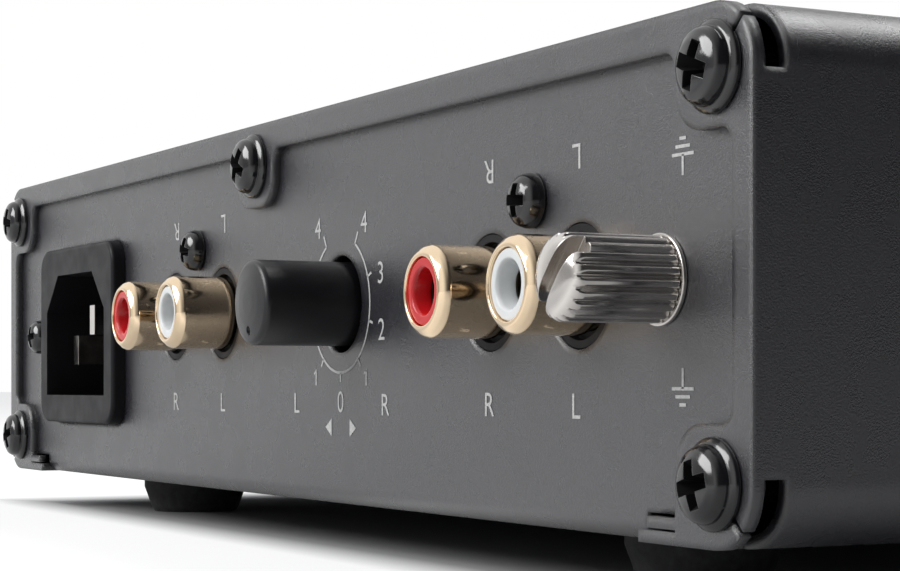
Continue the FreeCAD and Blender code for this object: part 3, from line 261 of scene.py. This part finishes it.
def make_materials():
    """One material for each slot of the record."""
    made = {
        "case_paint": powder_coat(),
        "fascia": brushed_fascia(),
        "foot_rubber": rubber(),
        "board_green": board_mask(),
        "black_steel": moulded(
            "black_steel", (0.009, 0.009, 0.011), 0.13, gloss=0.75, grain=2600, depth=0.000004, edge=0.0001,
        ),
        "fuse_glass": glazed("fuse_glass", (0.8, 0.85, 0.85), 0.05),
        "lamp_plastic": glazed("lamp_plastic", (0.25, 0.5, 0.8), 0.12),
    }
    for name, colour, roughness in (
        ("zinc_steel", (0.62, 0.62, 0.60), 0.28),
        ("nickel", (0.66, 0.63, 0.60), 0.14),
        ("tin", (0.66, 0.67, 0.68), 0.3),
        ("brass_part", (0.72, 0.55, 0.28), 0.24),
        ("gold", (0.90, 0.71, 0.49), 0.085),
        ("core_steel", (0.16, 0.16, 0.17), 0.45),
        ("sink_aluminium", (0.55, 0.55, 0.56), 0.35),
    ):
        made[name] = plated(name, colour, roughness)
    for name, colour, roughness, gloss in (
        ("black_plastic", (0.010, 0.010, 0.012), 0.46, 0.16),
        ("knob_plastic", (0.009, 0.009, 0.011), 0.32, 0.45),
        ("red_plastic", (0.60, 0.012, 0.016), 0.22, 0.5),
        ("white_plastic", (0.78, 0.80, 0.80), 0.24, 0.5),
        ("green_wire", (0.10, 0.34, 0.06), 0.4, 0.5),
        ("black_wire", (0.02, 0.02, 0.02), 0.4, 0.5),
        ("winding", (0.62, 0.46, 0.10), 0.5, 0.5),
        ("capacitor_sleeve", (0.015, 0.025, 0.07), 0.3, 0.5),
        ("film_red", (0.45, 0.05, 0.03), 0.3, 0.5),
        ("resistor_blue", (0.10, 0.26, 0.50), 0.4, 0.5),
    ):
        made[name] = moulded(name, colour, roughness, gloss)
    return made


materials = make_materials()
print_ink = ink()
# Dark brown metal for the socket contacts: painted shade deep inside the bores.
bore_painted_shade = plated("bore_painted_shade", (0.07, 0.05, 0.035), 0.4)
# Matte near-black for the walls of the screws' cross recesses: painted shade in the hollow.
recess_painted_shade = moulded("recess_painted_shade", (0.004, 0.004, 0.005), 0.7, 0.15)


def dress_nodes():
    """Give every CAD node the material of its slot."""
    for part in frame["record"]["subparts"]:
        item = nodes[part["node"]]
        item.data.materials.clear()
        item.data.materials.append(materials[part["material_slot"]])


# Meshes

SHARP_ANGLE = math.radians(35)
CORNER_STEPS = 4
ON_AXIS = 1e-6
WELD = 1e-7


def add_object(name, mesh):
    item = bpy.data.objects.new(name, mesh)
    bpy.context.scene.collection.objects.link(item)
    return item


def smooth_but_sharp(mesh):
    mesh.shade_smooth()
    mesh.set_sharp_from_angle(angle=SHARP_ANGLE)


def finish_mesh(name, bm, material):
    """An object from a bmesh, smooth but for its sharp edges."""
    bmesh.ops.recalc_face_normals(bm, faces=bm.faces)
    mesh = bpy.data.meshes.new(name)
    bm.to_mesh(mesh)
    bm.free()
    smooth_but_sharp(mesh)
    mesh.materials.append(material)
    return add_object(name, mesh)


def soften(profile, radius, closed=False):
    """Round each corner of a profile by a short curve."""
    points = [Vector(point) for point in profile]
    count = len(points)
    result = []
    for i, point in enumerate(points):
        if not closed and i in (0, count - 1):
            result.append(tuple(point))
            continue
        before = points[i - 1] - point
        after = points[(i + 1) % count] - point
        reach = min(radius, before.length * 0.45, after.length * 0.45)
        start = point + before.normalized() * reach
        end = point + after.normalized() * reach
        for k in range(CORNER_STEPS + 1):
            t = k / CORNER_STEPS
            result.append(tuple(start * (1 - t) ** 2 + point * 2 * t * (1 - t) + end * t ** 2))
    return result


def turned(name, profile, material, steps=96, closed=False, limit=None):
    """A piece turned about +Y from (radius, along) points; limit(angle) caps the radius."""
    bm = bmesh.new()
    rings = []
    for radius, along in profile:
        if radius < ON_AXIS:
            rings.append([bm.verts.new((0, along * MM, 0))])
            continue
        ring = []
        for k in range(steps):
            angle = 2 * math.pi * k / steps
            r = min(radius, limit(angle)) if limit else radius
            ring.append(bm.verts.new((r * MM * math.cos(angle), along * MM, r * MM * math.sin(angle))))
        rings.append(ring)
    pairs = list(zip(rings, rings[1:]))
    if closed:
        pairs.append((rings[-1], rings[0]))
    for low, high in pairs:
        for k in range(steps):
            corners = [ring[n % len(ring)] for ring, n in ((low, k), (low, k + 1), (high, k + 1), (high, k))]
            face = list(dict.fromkeys(corners))
            if len(face) > 2:
                bm.faces.new(face)
    return finish_mesh(name, bm, material)


def prism(name, outline_low, outline_high, low, high, material):
    """A solid between two outlines of as many (x, z) points, along Y."""
    bm = bmesh.new()
    bottom = [bm.verts.new((x * MM, low * MM, z * MM)) for x, z in outline_low]
    top = [bm.verts.new((x * MM, high * MM, z * MM)) for x, z in outline_high]
    bm.faces.new(bottom)
    bm.faces.new(top)
    count = len(bottom)
    for k in range(count):
        bm.faces.new((bottom[k], bottom[(k + 1) % count], top[(k + 1) % count], top[k]))
    return finish_mesh(name, bm, material)


def evaluated_mesh(item):
    """Mesh of an object with its modifiers, or of a text."""
    bpy.context.view_layer.update()
    graph = bpy.context.evaluated_depsgraph_get()
    return bpy.data.meshes.new_from_object(item.evaluated_get(graph))


def carve(piece, cutter):
    """Cut one mesh by another for good, with the cutter's material on the cut."""
    change = piece.modifiers.new("cut", "BOOLEAN")
    change.operation = "DIFFERENCE"
    change.solver = "EXACT"
    change.material_mode = "TRANSFER"
    change.object = cutter
    mesh = evaluated_mesh(piece)
    piece.modifiers.clear()
    piece.data = mesh
    smooth_but_sharp(mesh)
    bpy.data.objects.remove(cutter)
    return piece


def gather(name, pieces):
    """Join like pieces into one object."""
    bm = bmesh.new()
    for piece in pieces:
        mesh = piece.data.copy()
        mesh.transform(piece.matrix_basis)
        bm.from_mesh(mesh)
    mesh = bpy.data.meshes.new(name)
    bm.to_mesh(mesh)
    bm.free()
    for material in pieces[0].data.materials:
        mesh.materials.append(material)
    for piece in pieces:
        bpy.data.objects.remove(piece)
    return add_object(name, mesh)


# Screws with a cross recess

SHANK_RADIUS = 1.45
FLANGE_HEIGHT = 0.7
PANEL_SHANK = 6.0
FOOT_SCREW_HEAD = 2.4
FOOT_SCREW_HEIGHT = 1.56
FOOT_SCREW_SEAT = 2.6
FIRST_FOOT_TILT = 20
FOOT_TILT_STEP = 17


def cross_outline(arm, half, tilt):
    """Twelve corners of a cross, turned by tilt degrees."""
    corner = [(half, half), (half, arm), (-half, arm)]
    points = []
    for quarter in range(4):
        turn = Matrix.Rotation(math.radians(90 * quarter + tilt), 2)
        points.extend(tuple(turn @ Vector(point)) for point in corner)
    return points


def screw(name, head, height, flange, length, tilt, material):
    """A cross-recess screw that stands on y = 0, its recess turned by tilt degrees."""
    low = FLANGE_HEIGHT if flange else 0.0
    profile = [(0, -length), (SHANK_RADIUS, -length), (SHANK_RADIUS, 0)]
    if flange:
        profile += [(flange, 0), (flange, low * 0.6), (head + 0.15, low)]
    profile += [
        (head, low + 0.05),
        (head, low + (height - low) * 0.32),
        (head * 0.9, low + (height - low) * 0.66),
        (head * 0.66, low + (height - low) * 0.9),
        (head * 0.35, height),
        (0, height),
    ]
    piece = turned(name, soften(profile, 0.22), material, 64)
    arm, half, depth = head * 0.66, head * 0.2, head * 0.6
    top = cross_outline(arm, half, tilt)
    bottom = cross_outline(arm * 0.4, half * 0.5, tilt)
    # The cut takes the matte black material, painted shade inside the recess.
    return carve(piece, prism("recess", bottom, top, height - depth, height + 0.01, recess_painted_shade))


def solids_of(node):
    """Boxes of a node's loose solids, as (low, high) pairs."""
    bm = bmesh.new()
    bm.from_mesh(nodes[node].data)
    bmesh.ops.remove_doubles(bm, verts=bm.verts, dist=WELD)
    left = set(bm.verts)
    boxes = []
    while left:
        group = {left.pop()}
        front = list(group)
        while front:
            vert = front.pop()
            for edge in vert.link_edges:
                other = edge.other_vert(vert)
                if other not in group:
                    group.add(other)
                    front.append(other)
        left -= group
        low = Vector(min(v.co[i] for v in group) for i in range(3))
        high = Vector(max(v.co[i] for v in group) for i in range(3))
        boxes.append((low, high))
    bm.free()
    return sorted(boxes, key=lambda pair: (round(pair[0].x, 4), round(pair[0].z, 4)))


def place_piece(piece, body, slot, *replaced):
    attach(piece, body)
    if replaced:
        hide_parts(*replaced)


def place_turned(piece, x, y, z, body, slot, node):
    """Put a turned piece where the CAD node that it replaces is."""
    piece.location = (x, y, z)
    place_piece(piece, body, slot, node)


def make_panel_screws():
    """The black screws of the panel, each with its recess at an angle of its own."""
    for node, head, height, flange, seat, tilts in (
        ("cover_screws", 3.0, 2.25, 3.55, lip_y, (-14, 20, 31, -17, 12)),
        ("socket_screws", 2.4, 2.0, 0, panel_y, (4, 15)),
        ("inlet_screws", 2.4, 2.0, 0, panel_y, (28, -8)),
    ):
        pieces = []
        for (low, high), tilt in zip(solids_of(node), tilts):
            one = screw(node + "_one", head, height, flange, PANEL_SHANK, tilt, materials["black_steel"])
            one.matrix_basis = Matrix.Translation(((low.x + high.x) / 2, seat, (low.z + high.z) / 2))
            pieces.append(one)
        place_piece(gather(node + "_detail", pieces), "chassis", "black_steel", node)


def make_foot_screws():
    """Zinc screws in the feet, seen from below."""
    pieces = []
    for number, (low, high) in enumerate(solids_of("foot_screws")):
        length = high.z / MM - FOOT_SCREW_SEAT
        tilt = FIRST_FOOT_TILT + FOOT_TILT_STEP * number
        zinc = materials["zinc_steel"]
        one = screw("foot_screw_one", FOOT_SCREW_HEAD, FOOT_SCREW_HEIGHT, 0, length, tilt, zinc)
        seat = Matrix.Translation(((low.x + high.x) / 2, (low.y + high.y) / 2, FOOT_SCREW_SEAT * MM))
        one.matrix_basis = seat @ Matrix.Rotation(math.radians(-90), 4, "X")
        pieces.append(one)
    place_piece(gather("foot_screws_detail", pieces), "chassis", "zinc_steel", "foot_screws")


# Sockets, knob and ground post, in profiles of (radius, distance out of the panel)

SHELL_PROFILE = (
    (3.05, -12.0), (3.7, -12.0), (3.7, 0.0), (4.15, 0.0), (4.15, 6.1), (3.9, 6.55),
    (3.42, 6.98), (3.05, 7.0), (3.05, 5.0),
)
INSULATOR_PROFILE = (
    (2.05, -12.0), (3.0, -12.0), (3.0, 6.66), (2.88, 6.76), (2.2, 6.76), (2.0, 6.5),
    (1.72, 5.5), (1.66, 5.2), (1.66, 5.05), (2.05, 5.05),
)
CONTACT_PROFILE = ((1.66, -11.0), (2.0, -13.0), (2.0, 5.0), (1.66, 5.0))
KNOB_PROFILE = (
    (0, 8.1), (3.05, 8.1), (3.05, -2.2), (4.3, -2.2), (4.3, 9.55), (4.16, 9.86), (3.85, 10.02),
    (2.4, 10.2), (1.2, 10.28), (0, 10.3),
)
DIMPLE_PROFILE = ((0, -0.45), (0.22, -0.4), (0.4, -0.22), (0.48, 0.0), (0.5, 1.0), (0, 1.0))
DIMPLE_OUT = 10.1
DIMPLE_BELOW_AXIS = 2.85
WASHER_PROFILE = ((2.0, 0.05), (3.66, 0.05), (3.66, 0.32), (3.58, 0.4), (2.0, 0.4))


def make_sockets():
    """Gold shells with a chamfered rim, insulators with a funnel, and contacts coloured dark as painted
    shade inside the bore.
    """
    for name in ("input_right", "input_left", "output_right", "output_left"):
        x, z = middle(f"{name}_shell").xz
        profile = soften(SHELL_PROFILE, 0.16, closed=True)
        shell = turned(f"{name}_shell_detail", profile, materials["gold"], 128, closed=True)
        place_turned(shell, x, panel_y, z, "chassis", "gold", f"{name}_shell")
        slot = "red_plastic" if name.endswith("right") else "white_plastic"
        profile = soften(INSULATOR_PROFILE, 0.1, closed=True)
        insulator = turned(f"{name}_insulator_detail", profile, materials[slot], closed=True)
        place_turned(insulator, x, panel_y, z, "chassis", slot, f"{name}_insulator")
        # The contacts get the dark metal, painted shade where no light reaches in the bore.
        contact = turned(f"{name}_contact_detail", CONTACT_PROFILE, bore_painted_shade, 64, closed=True)
        place_turned(contact, x, panel_y, z, "chassis", "gold", f"{name}_contact")


def make_knob():
    """Satin balance knob, its face a little domed, with a dimple for a pointer."""
    knob = turned("balance_knob_detail", soften(KNOB_PROFILE, 0.2), materials["knob_plastic"], 128)
    dimple = turned("dimple", DIMPLE_PROFILE, materials["knob_plastic"], 32)
    dimple.matrix_basis = Matrix.Translation((0, DIMPLE_OUT * MM, -DIMPLE_BELOW_AXIS * MM))
    carve(knob, dimple)
    x = middle("balance_knob").x
    place_turned(knob, x, panel_y, axis_z, "balance_control", "knob_plastic", "balance_knob")


def make_ground_post():
    """Fluted thumb screw with a slotted dome."""
    flutes, crest, root = 20, 3.45, 3.08
    length, crown, dome_steps = 10.1, 1.3, 8
    slot_half, slot_reach, slot_depth, slot_tilt = 0.8, 5, 2.1, -42

    def fluted(angle):
        wave = math.cos(angle * flutes)
        return crest - (crest - root) * max(0.0, 0.35 + 0.65 * wave) ** 1.5

    shoulder = length - crown
    profile = [(0, -7.6), (1.95, -7.6), (1.95, 0.45), (3.3, 0.45), (crest, 0.6), (crest, shoulder)]
    for step in range(1, dome_steps):
        angle = math.radians(90 * step / dome_steps)
        profile.append((crest * math.cos(angle) ** 0.6, shoulder + crown * math.sin(angle)))
    profile.append((0, length))
    post = turned("ground_screw_detail", profile, materials["nickel"], flutes * 14, limit=fluted)
    corners = ((-1, -1), (1, -1), (1, 1), (-1, 1))
    outline = [(slot_half * x, slot_reach * z) for x, z in corners]
    slot = prism("slot", outline, outline, length - slot_depth, length + 1, materials["nickel"])
    slot.matrix_basis = Matrix.Rotation(math.radians(slot_tilt), 4, "Y")
    carve(post, slot)
    x = middle("ground_screw").x
    place_turned(post, x, panel_y, axis_z, "ground_thumb_screw", "nickel", "ground_screw")


def make_ground_washer():
    """Thin washer behind the ground post."""
    profile = soften(WASHER_PROFILE, 0.06, closed=True)
    washer = turned("ground_washer_detail", profile, materials["nickel"], closed=True)
    x = middle("ground_screw").x
    place_turned(washer, x, panel_y, axis_z, "ground_collar", "nickel", "ground_washer")


# Printed marks on the panel, at (u, v) in millimetres:
# u to the right in the photograph, v above the case's underside

PRINT_LIFT = 0.03
LINE = 0.26
THICK_LINE = 0.28
THIN_LINE = 0.2
FONT_SIZE = 3.0625
FONT_WIDENED = 1.05
DIAL_U = 20.6
DIAL_V = 20.45
DIAL_RADIUS = 6.95
DIAL_END = 150
DIAL_TICKS = (-DIAL_END, -112, -75, -37, 0, 37, 75, 112, DIAL_END)
END_TICK = 1.35
TICK = 0.95
ONES_U = (14.5, 26.7)
ONE_FOOT_V = 12.2
ONE_TOP_V = 13.85
FIGURES = (
    ("4", 15.0, 28.4), ("4", 26.2, 28.4), ("3", 30.0, 23.2), ("2", 30.2, 17.6),
    ("3", 11.2, 23.2), ("2", 11.0, 17.6), ("0", 20.6, 10.4),
)
LETTERS = (
    ("L", 9.4, 10.2), ("R", 31.0, 10.2), ("R", 52.3, 10.4), ("L", 67.4, 10.4),
    ("R", -27.2, 10.1), ("L", -11.9, 10.1),
)
INVERTED_LETTERS = (("R", 52.4, 31.4), ("L", 67.6, 31.4), ("R", -26.8, 30.9), ("L", -11.6, 30.9))
ARROWS = ((18.4, -1), (22.8, 1))
ARROW_V = 7.9
ARROW_SIZE = 1.5
GROUND_U = 83.4
GROUND_MARKS = ((12.0, 1), (30.0, -1))
GROUND_STEM = 1.6
GROUND_BARS = (1.5, 1.0, 0.45)
BAR_PITCH = 0.62
ink_marks = []


def on_panel(u, v):
    return Vector((-u * MM, panel_y + PRINT_LIFT * MM, under_z + v * MM))


def ribbon(points, width=LINE):
    """A flat printed line of one width through (u, v) points."""
    bm = bmesh.new()
    sides = []
    for i, point in enumerate(points):
        here = Vector(point)
        before = Vector(points[max(i - 1, 0)])
        after = Vector(points[min(i + 1, len(points) - 1)])
        along = (after - before).normalized()
        across = Vector((-along.y, along.x)) * width / 2
        sides.append([bm.verts.new(on_panel(*(here + across * side))) for side in (1, -1)])
    for first, second in zip(sides, sides[1:]):
        bm.faces.new((first[0], first[1], second[1], second[0]))
    ink_marks.append(bm)


def written(text, u, v, upside_down=False):
    """A generic character centred on (u, v)."""
    curve = bpy.data.curves.new("mark", "FONT")
    curve.body = text
    curve.size = FONT_SIZE * MM
    curve.align_x = "CENTER"
    curve.align_y = "CENTER"
    item = add_object("mark", curve)
    turn = Matrix(((-1, 0, 0), (0, 0, 1), (0, 1, 0))).to_4x4()
    if upside_down:
        turn = turn @ Matrix.Rotation(math.pi, 4, "Z")
    mesh = evaluated_mesh(item)
    mesh.transform(Matrix.Translation(on_panel(u, v)) @ turn @ Matrix.Diagonal((FONT_WIDENED, 1, 1, 1)))
    bm = bmesh.new()
    bm.from_mesh(mesh)
    ink_marks.append(bm)
    bpy.data.objects.remove(item)


def dial_point(radius, degrees):
    """A point round the dial, in degrees from its lowest point."""
    angle = math.radians(degrees)
    return DIAL_U + radius * math.sin(angle), DIAL_V - radius * math.cos(angle)


def figure_one(u):
    """A 1 with a small flag, because the font's own is a bare bar."""
    ribbon(((u, ONE_FOOT_V), (u, ONE_TOP_V)))
    ribbon(((u, ONE_TOP_V - 0.1), (u - 0.5, ONE_TOP_V - 0.5)), THIN_LINE)


def make_dial():
    """The balance scale: an open ring with ticks, and its figures."""
    ribbon([dial_point(DIAL_RADIUS, angle) for angle in range(-DIAL_END, DIAL_END + 1, 5)])
    for angle in DIAL_TICKS:
        tick = END_TICK if abs(angle) == DIAL_END else TICK
        ribbon([dial_point(DIAL_RADIUS, angle), dial_point(DIAL_RADIUS + tick, angle)])
    for u in ONES_U:
        figure_one(u)
    for text, u, v in FIGURES:
        written(text, u, v)


def arrow(u, v, way):
    """A plain filled triangle that points left or right."""
    bm = bmesh.new()
    half = ARROW_SIZE * 0.6
    corners = on_panel(u + ARROW_SIZE * way, v), on_panel(u, v + half), on_panel(u, v - half)
    bm.faces.new([bm.verts.new(corner) for corner in corners])
    ink_marks.append(bm)


def ground_symbol(u, v, way):
    """The common ground symbol: a stem over three bars that get shorter."""
    ribbon([(u, v + GROUND_STEM * way), (u, v)], THICK_LINE)
    for row, half in enumerate(GROUND_BARS):
        height = v - row * BAR_PITCH * way
        ribbon([(u - half, height), (u + half, height)])


def joined_marks():
    """All marks as one mesh that faces out of the panel."""
    bm = bmesh.new()
    for mark in ink_marks:
        mesh = bpy.data.meshes.new("mark")
        mark.to_mesh(mesh)
        mark.free()
        bm.from_mesh(mesh)
    for face in bm.faces:
        if face.normal.y < 0:
            face.normal_flip()
    mesh = bpy.data.meshes.new("panel_print")
    bm.to_mesh(mesh)
    bm.free()
    return mesh


def make_marks():
    """The balance scale, channel letters, arrows and the ground symbols, as one flat piece."""
    make_dial()
    for text, u, v in LETTERS:
        written(text, u, v)
    for text, u, v in INVERTED_LETTERS:
        written(text, u, v, upside_down=True)
    for u, way in ARROWS:
        arrow(u, ARROW_V, way)
    for v, way in GROUND_MARKS:
        ground_symbol(GROUND_U, v, way)
    mesh = joined_marks()
    mesh.materials.append(print_ink)
    place_piece(add_object("panel_print", mesh), "chassis", "case_paint")


# Front, in profiles of (radius, distance from the fascia towards the panel)

BUTTON_PROFILE = (
    (0, 1.0), (6.5, 1.0), (6.5, 0.05), (5.5, 0.05), (5.5, -7.1), (5.2, -7.2), (4.7, -7.15),
    (2.5, -6.88), (0, -6.8),
)
LAMP_PROFILE = (
    (0, 3.0), (1.95, 3.0), (1.95, 0.05), (1.5, 0.05), (1.5, -4.0), (1.32, -4.7), (0.8, -5.3), (0, -5.5),
)


def make_front_pieces():
    """Power button with a dished face, and the lamp."""
    x, z = middle("power_button").xz
    button = turned("power_button_detail", soften(BUTTON_PROFILE, 0.15), materials["knob_plastic"])
    place_turned(button, x, fascia_y, z, "power_key", "knob_plastic", "power_button")
    x, z = middle("power_lamp").xz
    lamp = turned("power_lamp_detail", soften(LAMP_PROFILE, 0.2), materials["lamp_plastic"], 48)
    place_turned(lamp, x, fascia_y, z, "chassis", "lamp_plastic", "power_lamp")


# Studio

# Two sides that reflections see less of: a way, the level there, and the cosines that it falls between
DARKER_SIDES = (
    ((-0.77, -0.64, 0.0), 0.04, -0.3, 0.35),
    ((0.45, 0.89, 0.0), 0.42, 0.7, 0.95),
)
PLAIN_LIGHT = (0.32, 0.33, 0.35)
BLACK = (0.0, 0.0, 0.0)
WHITE = (1.0, 1.0, 1.0)
FLOOR_REACH = 4.0
# The floor's glow fades in from GLOW_START to GLOW_END of the box, so nearer the case it is left out: a
# painted shadow.
FLOOR_GLOW = 0.68
GLOW_START = 0.79
GLOW_END = 0.91
LAMP_TARGET = Vector((0, 0.03, 0.03))


def larger_of(tree, first, second):
    node = add_node(tree, "ShaderNodeMath", operation="MAXIMUM")
    tree.links.new(first, node.inputs[0])
    tree.links.new(second, node.inputs[1])
    return node.outputs[0]


def product(tree, first, second):
    node = add_node(tree, "ShaderNodeMath", operation="MULTIPLY")
    tree.links.new(first, node.inputs[0])
    tree.links.new(second, node.inputs[1])
    return node.outputs[0]


def seen_rays(tree):
    """1 for camera, glossy and transmission rays, else 0."""
    path = add_node(tree, "ShaderNodeLightPath")
    reflected = larger_of(tree, path.outputs["Is Glossy Ray"], path.outputs["Is Transmission Ray"])
    return larger_of(tree, path.outputs["Is Camera Ray"], reflected)


def falling_towards(tree, direction, way, level, start, end):
    """1 away from a way, falling to a level between two cosines."""
    facing = add_node(tree, "ShaderNodeVectorMath", operation="DOT_PRODUCT")
    facing.inputs[1].default_value = way
    tree.links.new(direction, facing.inputs[0])
    return spread(tree, facing.outputs["Value"], 1.0, level, start, end)


def seen_level(tree, direction):
    """1 for what the camera sees, up to 1 for reflections, less towards the darker sides, else 0."""
    reflected = seen_rays(tree)
    for side in DARKER_SIDES:
        reflected = product(tree, falling_towards(tree, direction, *side), reflected)
    path = add_node(tree, "ShaderNodeLightPath")
    return larger_of(tree, reflected, path.outputs["Is Camera Ray"])


def make_world():
    """White to the camera, dimmer to reflections on two sides, and a plain grey light otherwise."""
    world = bpy.data.worlds.new("studio")
    bpy.context.scene.world = world
    world.use_nodes = True
    tree = world.node_tree
    place = add_node(tree, "ShaderNodeTexCoord")
    seen = blend_colours(tree, seen_level(tree, place.outputs["Generated"]), BLACK, WHITE)
    unseen = blend_colours(tree, seen_rays(tree), PLAIN_LIGHT, BLACK)
    total = add_node(tree, "ShaderNodeMix", data_type="RGBA", blend_type="ADD")
    total.inputs["Factor"].default_value = 1.0
    tree.links.new(seen, total.inputs["A"])
    tree.links.new(unseen, total.inputs["B"])
    tree.links.new(total.outputs["Result"], tree.nodes["Background"].inputs["Color"])


def away_from_middle(tree):
    """The larger of two distances from the middle: 1 at the rear of the CAD box, 0.8 at its sides."""
    folded = add_node(tree, "ShaderNodeVectorMath", operation="ABSOLUTE")
    tree.links.new(object_space(tree, (0.8 / cad_high.x, 1 / cad_high.y, 0.0)), folded.inputs[0])
    axes = add_node(tree, "ShaderNodeSeparateXYZ")
    tree.links.new(folded.outputs["Vector"], axes.inputs["Vector"])
    return larger_of(tree, axes.outputs["X"], axes.outputs["Y"])


def floor_material():
    """Pale floor that keeps the lamps' shadow; its glow is left out near and under the case, a painted
    shadow round it, and it turns plain white from just inside the case's rear edge.
    """
    material, tree, shader = new_material("floor", (0.42, 0.42, 0.42), 0.9)
    shader.inputs["Specular IOR Level"].default_value = 0.0
    heading = add_node(tree, "ShaderNodeVectorMath", operation="NORMALIZE")
    tree.links.new(object_space(tree), heading.inputs[0])
    # No glow near and under the case, a painted shadow; full glow further out.
    painted_shadow_fade = spread(tree, away_from_middle(tree), 0.0, FLOOR_GLOW, GLOW_START, GLOW_END)
    glow = add_node(tree, "ShaderNodeEmission")
    glow.inputs["Color"].default_value = (*WHITE, 1.0)
    tree.links.new(product(tree, seen_level(tree, heading.outputs["Vector"]), painted_shadow_fade), glow.inputs["Strength"])
    total = add_node(tree, "ShaderNodeAddShader")
    tree.links.new(shader.outputs["BSDF"], total.inputs[0])
    tree.links.new(glow.outputs["Emission"], total.inputs[1])
    tree.links.new(total.outputs["Shader"], tree.nodes["Material Output"].inputs["Surface"])
    return material


def make_floor():
    bm = bmesh.new()
    bmesh.ops.create_grid(bm, x_segments=4, y_segments=4, size=FLOOR_REACH)
    finish_mesh("floor", bm, floor_material())


def soft_light(name, place, width, height, power):
    """A rectangular lamp, aimed at the case."""
    lamp = bpy.data.lights.new(name, "AREA")
    lamp.shape = "RECTANGLE"
    lamp.size = width
    lamp.size_y = height
    lamp.energy = power
    item = add_object(name, lamp)
    item.location = place
    item.rotation_euler = (LAMP_TARGET - Vector(place)).to_track_quat("-Z", "Y").to_euler()


def make_camera():
    """The camera that was fitted to the photograph's straight edges."""
    camera = bpy.data.cameras.new("camera")
    camera.sensor_width = 36.0
    camera.lens = 87.85
    camera.shift_y = 0.1084
    camera.clip_start = 0.005
    item = add_object("camera", camera)
    item.location = (-0.22453, 0.15713, 0.01764)
    item.rotation_euler = (math.radians(90), 0, math.radians(-117.52))
    bpy.context.scene.camera = item


dress_nodes()
make_panel_screws()
make_sockets()
make_knob()
make_ground_post()
make_ground_washer()
make_marks()
make_front_pieces()
make_foot_screws()
make_world()
make_floor()
soft_light("key", place=(0.25, 0.90, 0.55), width=0.7, height=0.5, power=9.0)
soft_light("top", place=(-0.05, -0.48, 0.88), width=0.55, height=0.45, power=4.0)
make_camera()
bpy.context.scene.view_settings.view_transform = "Standard"
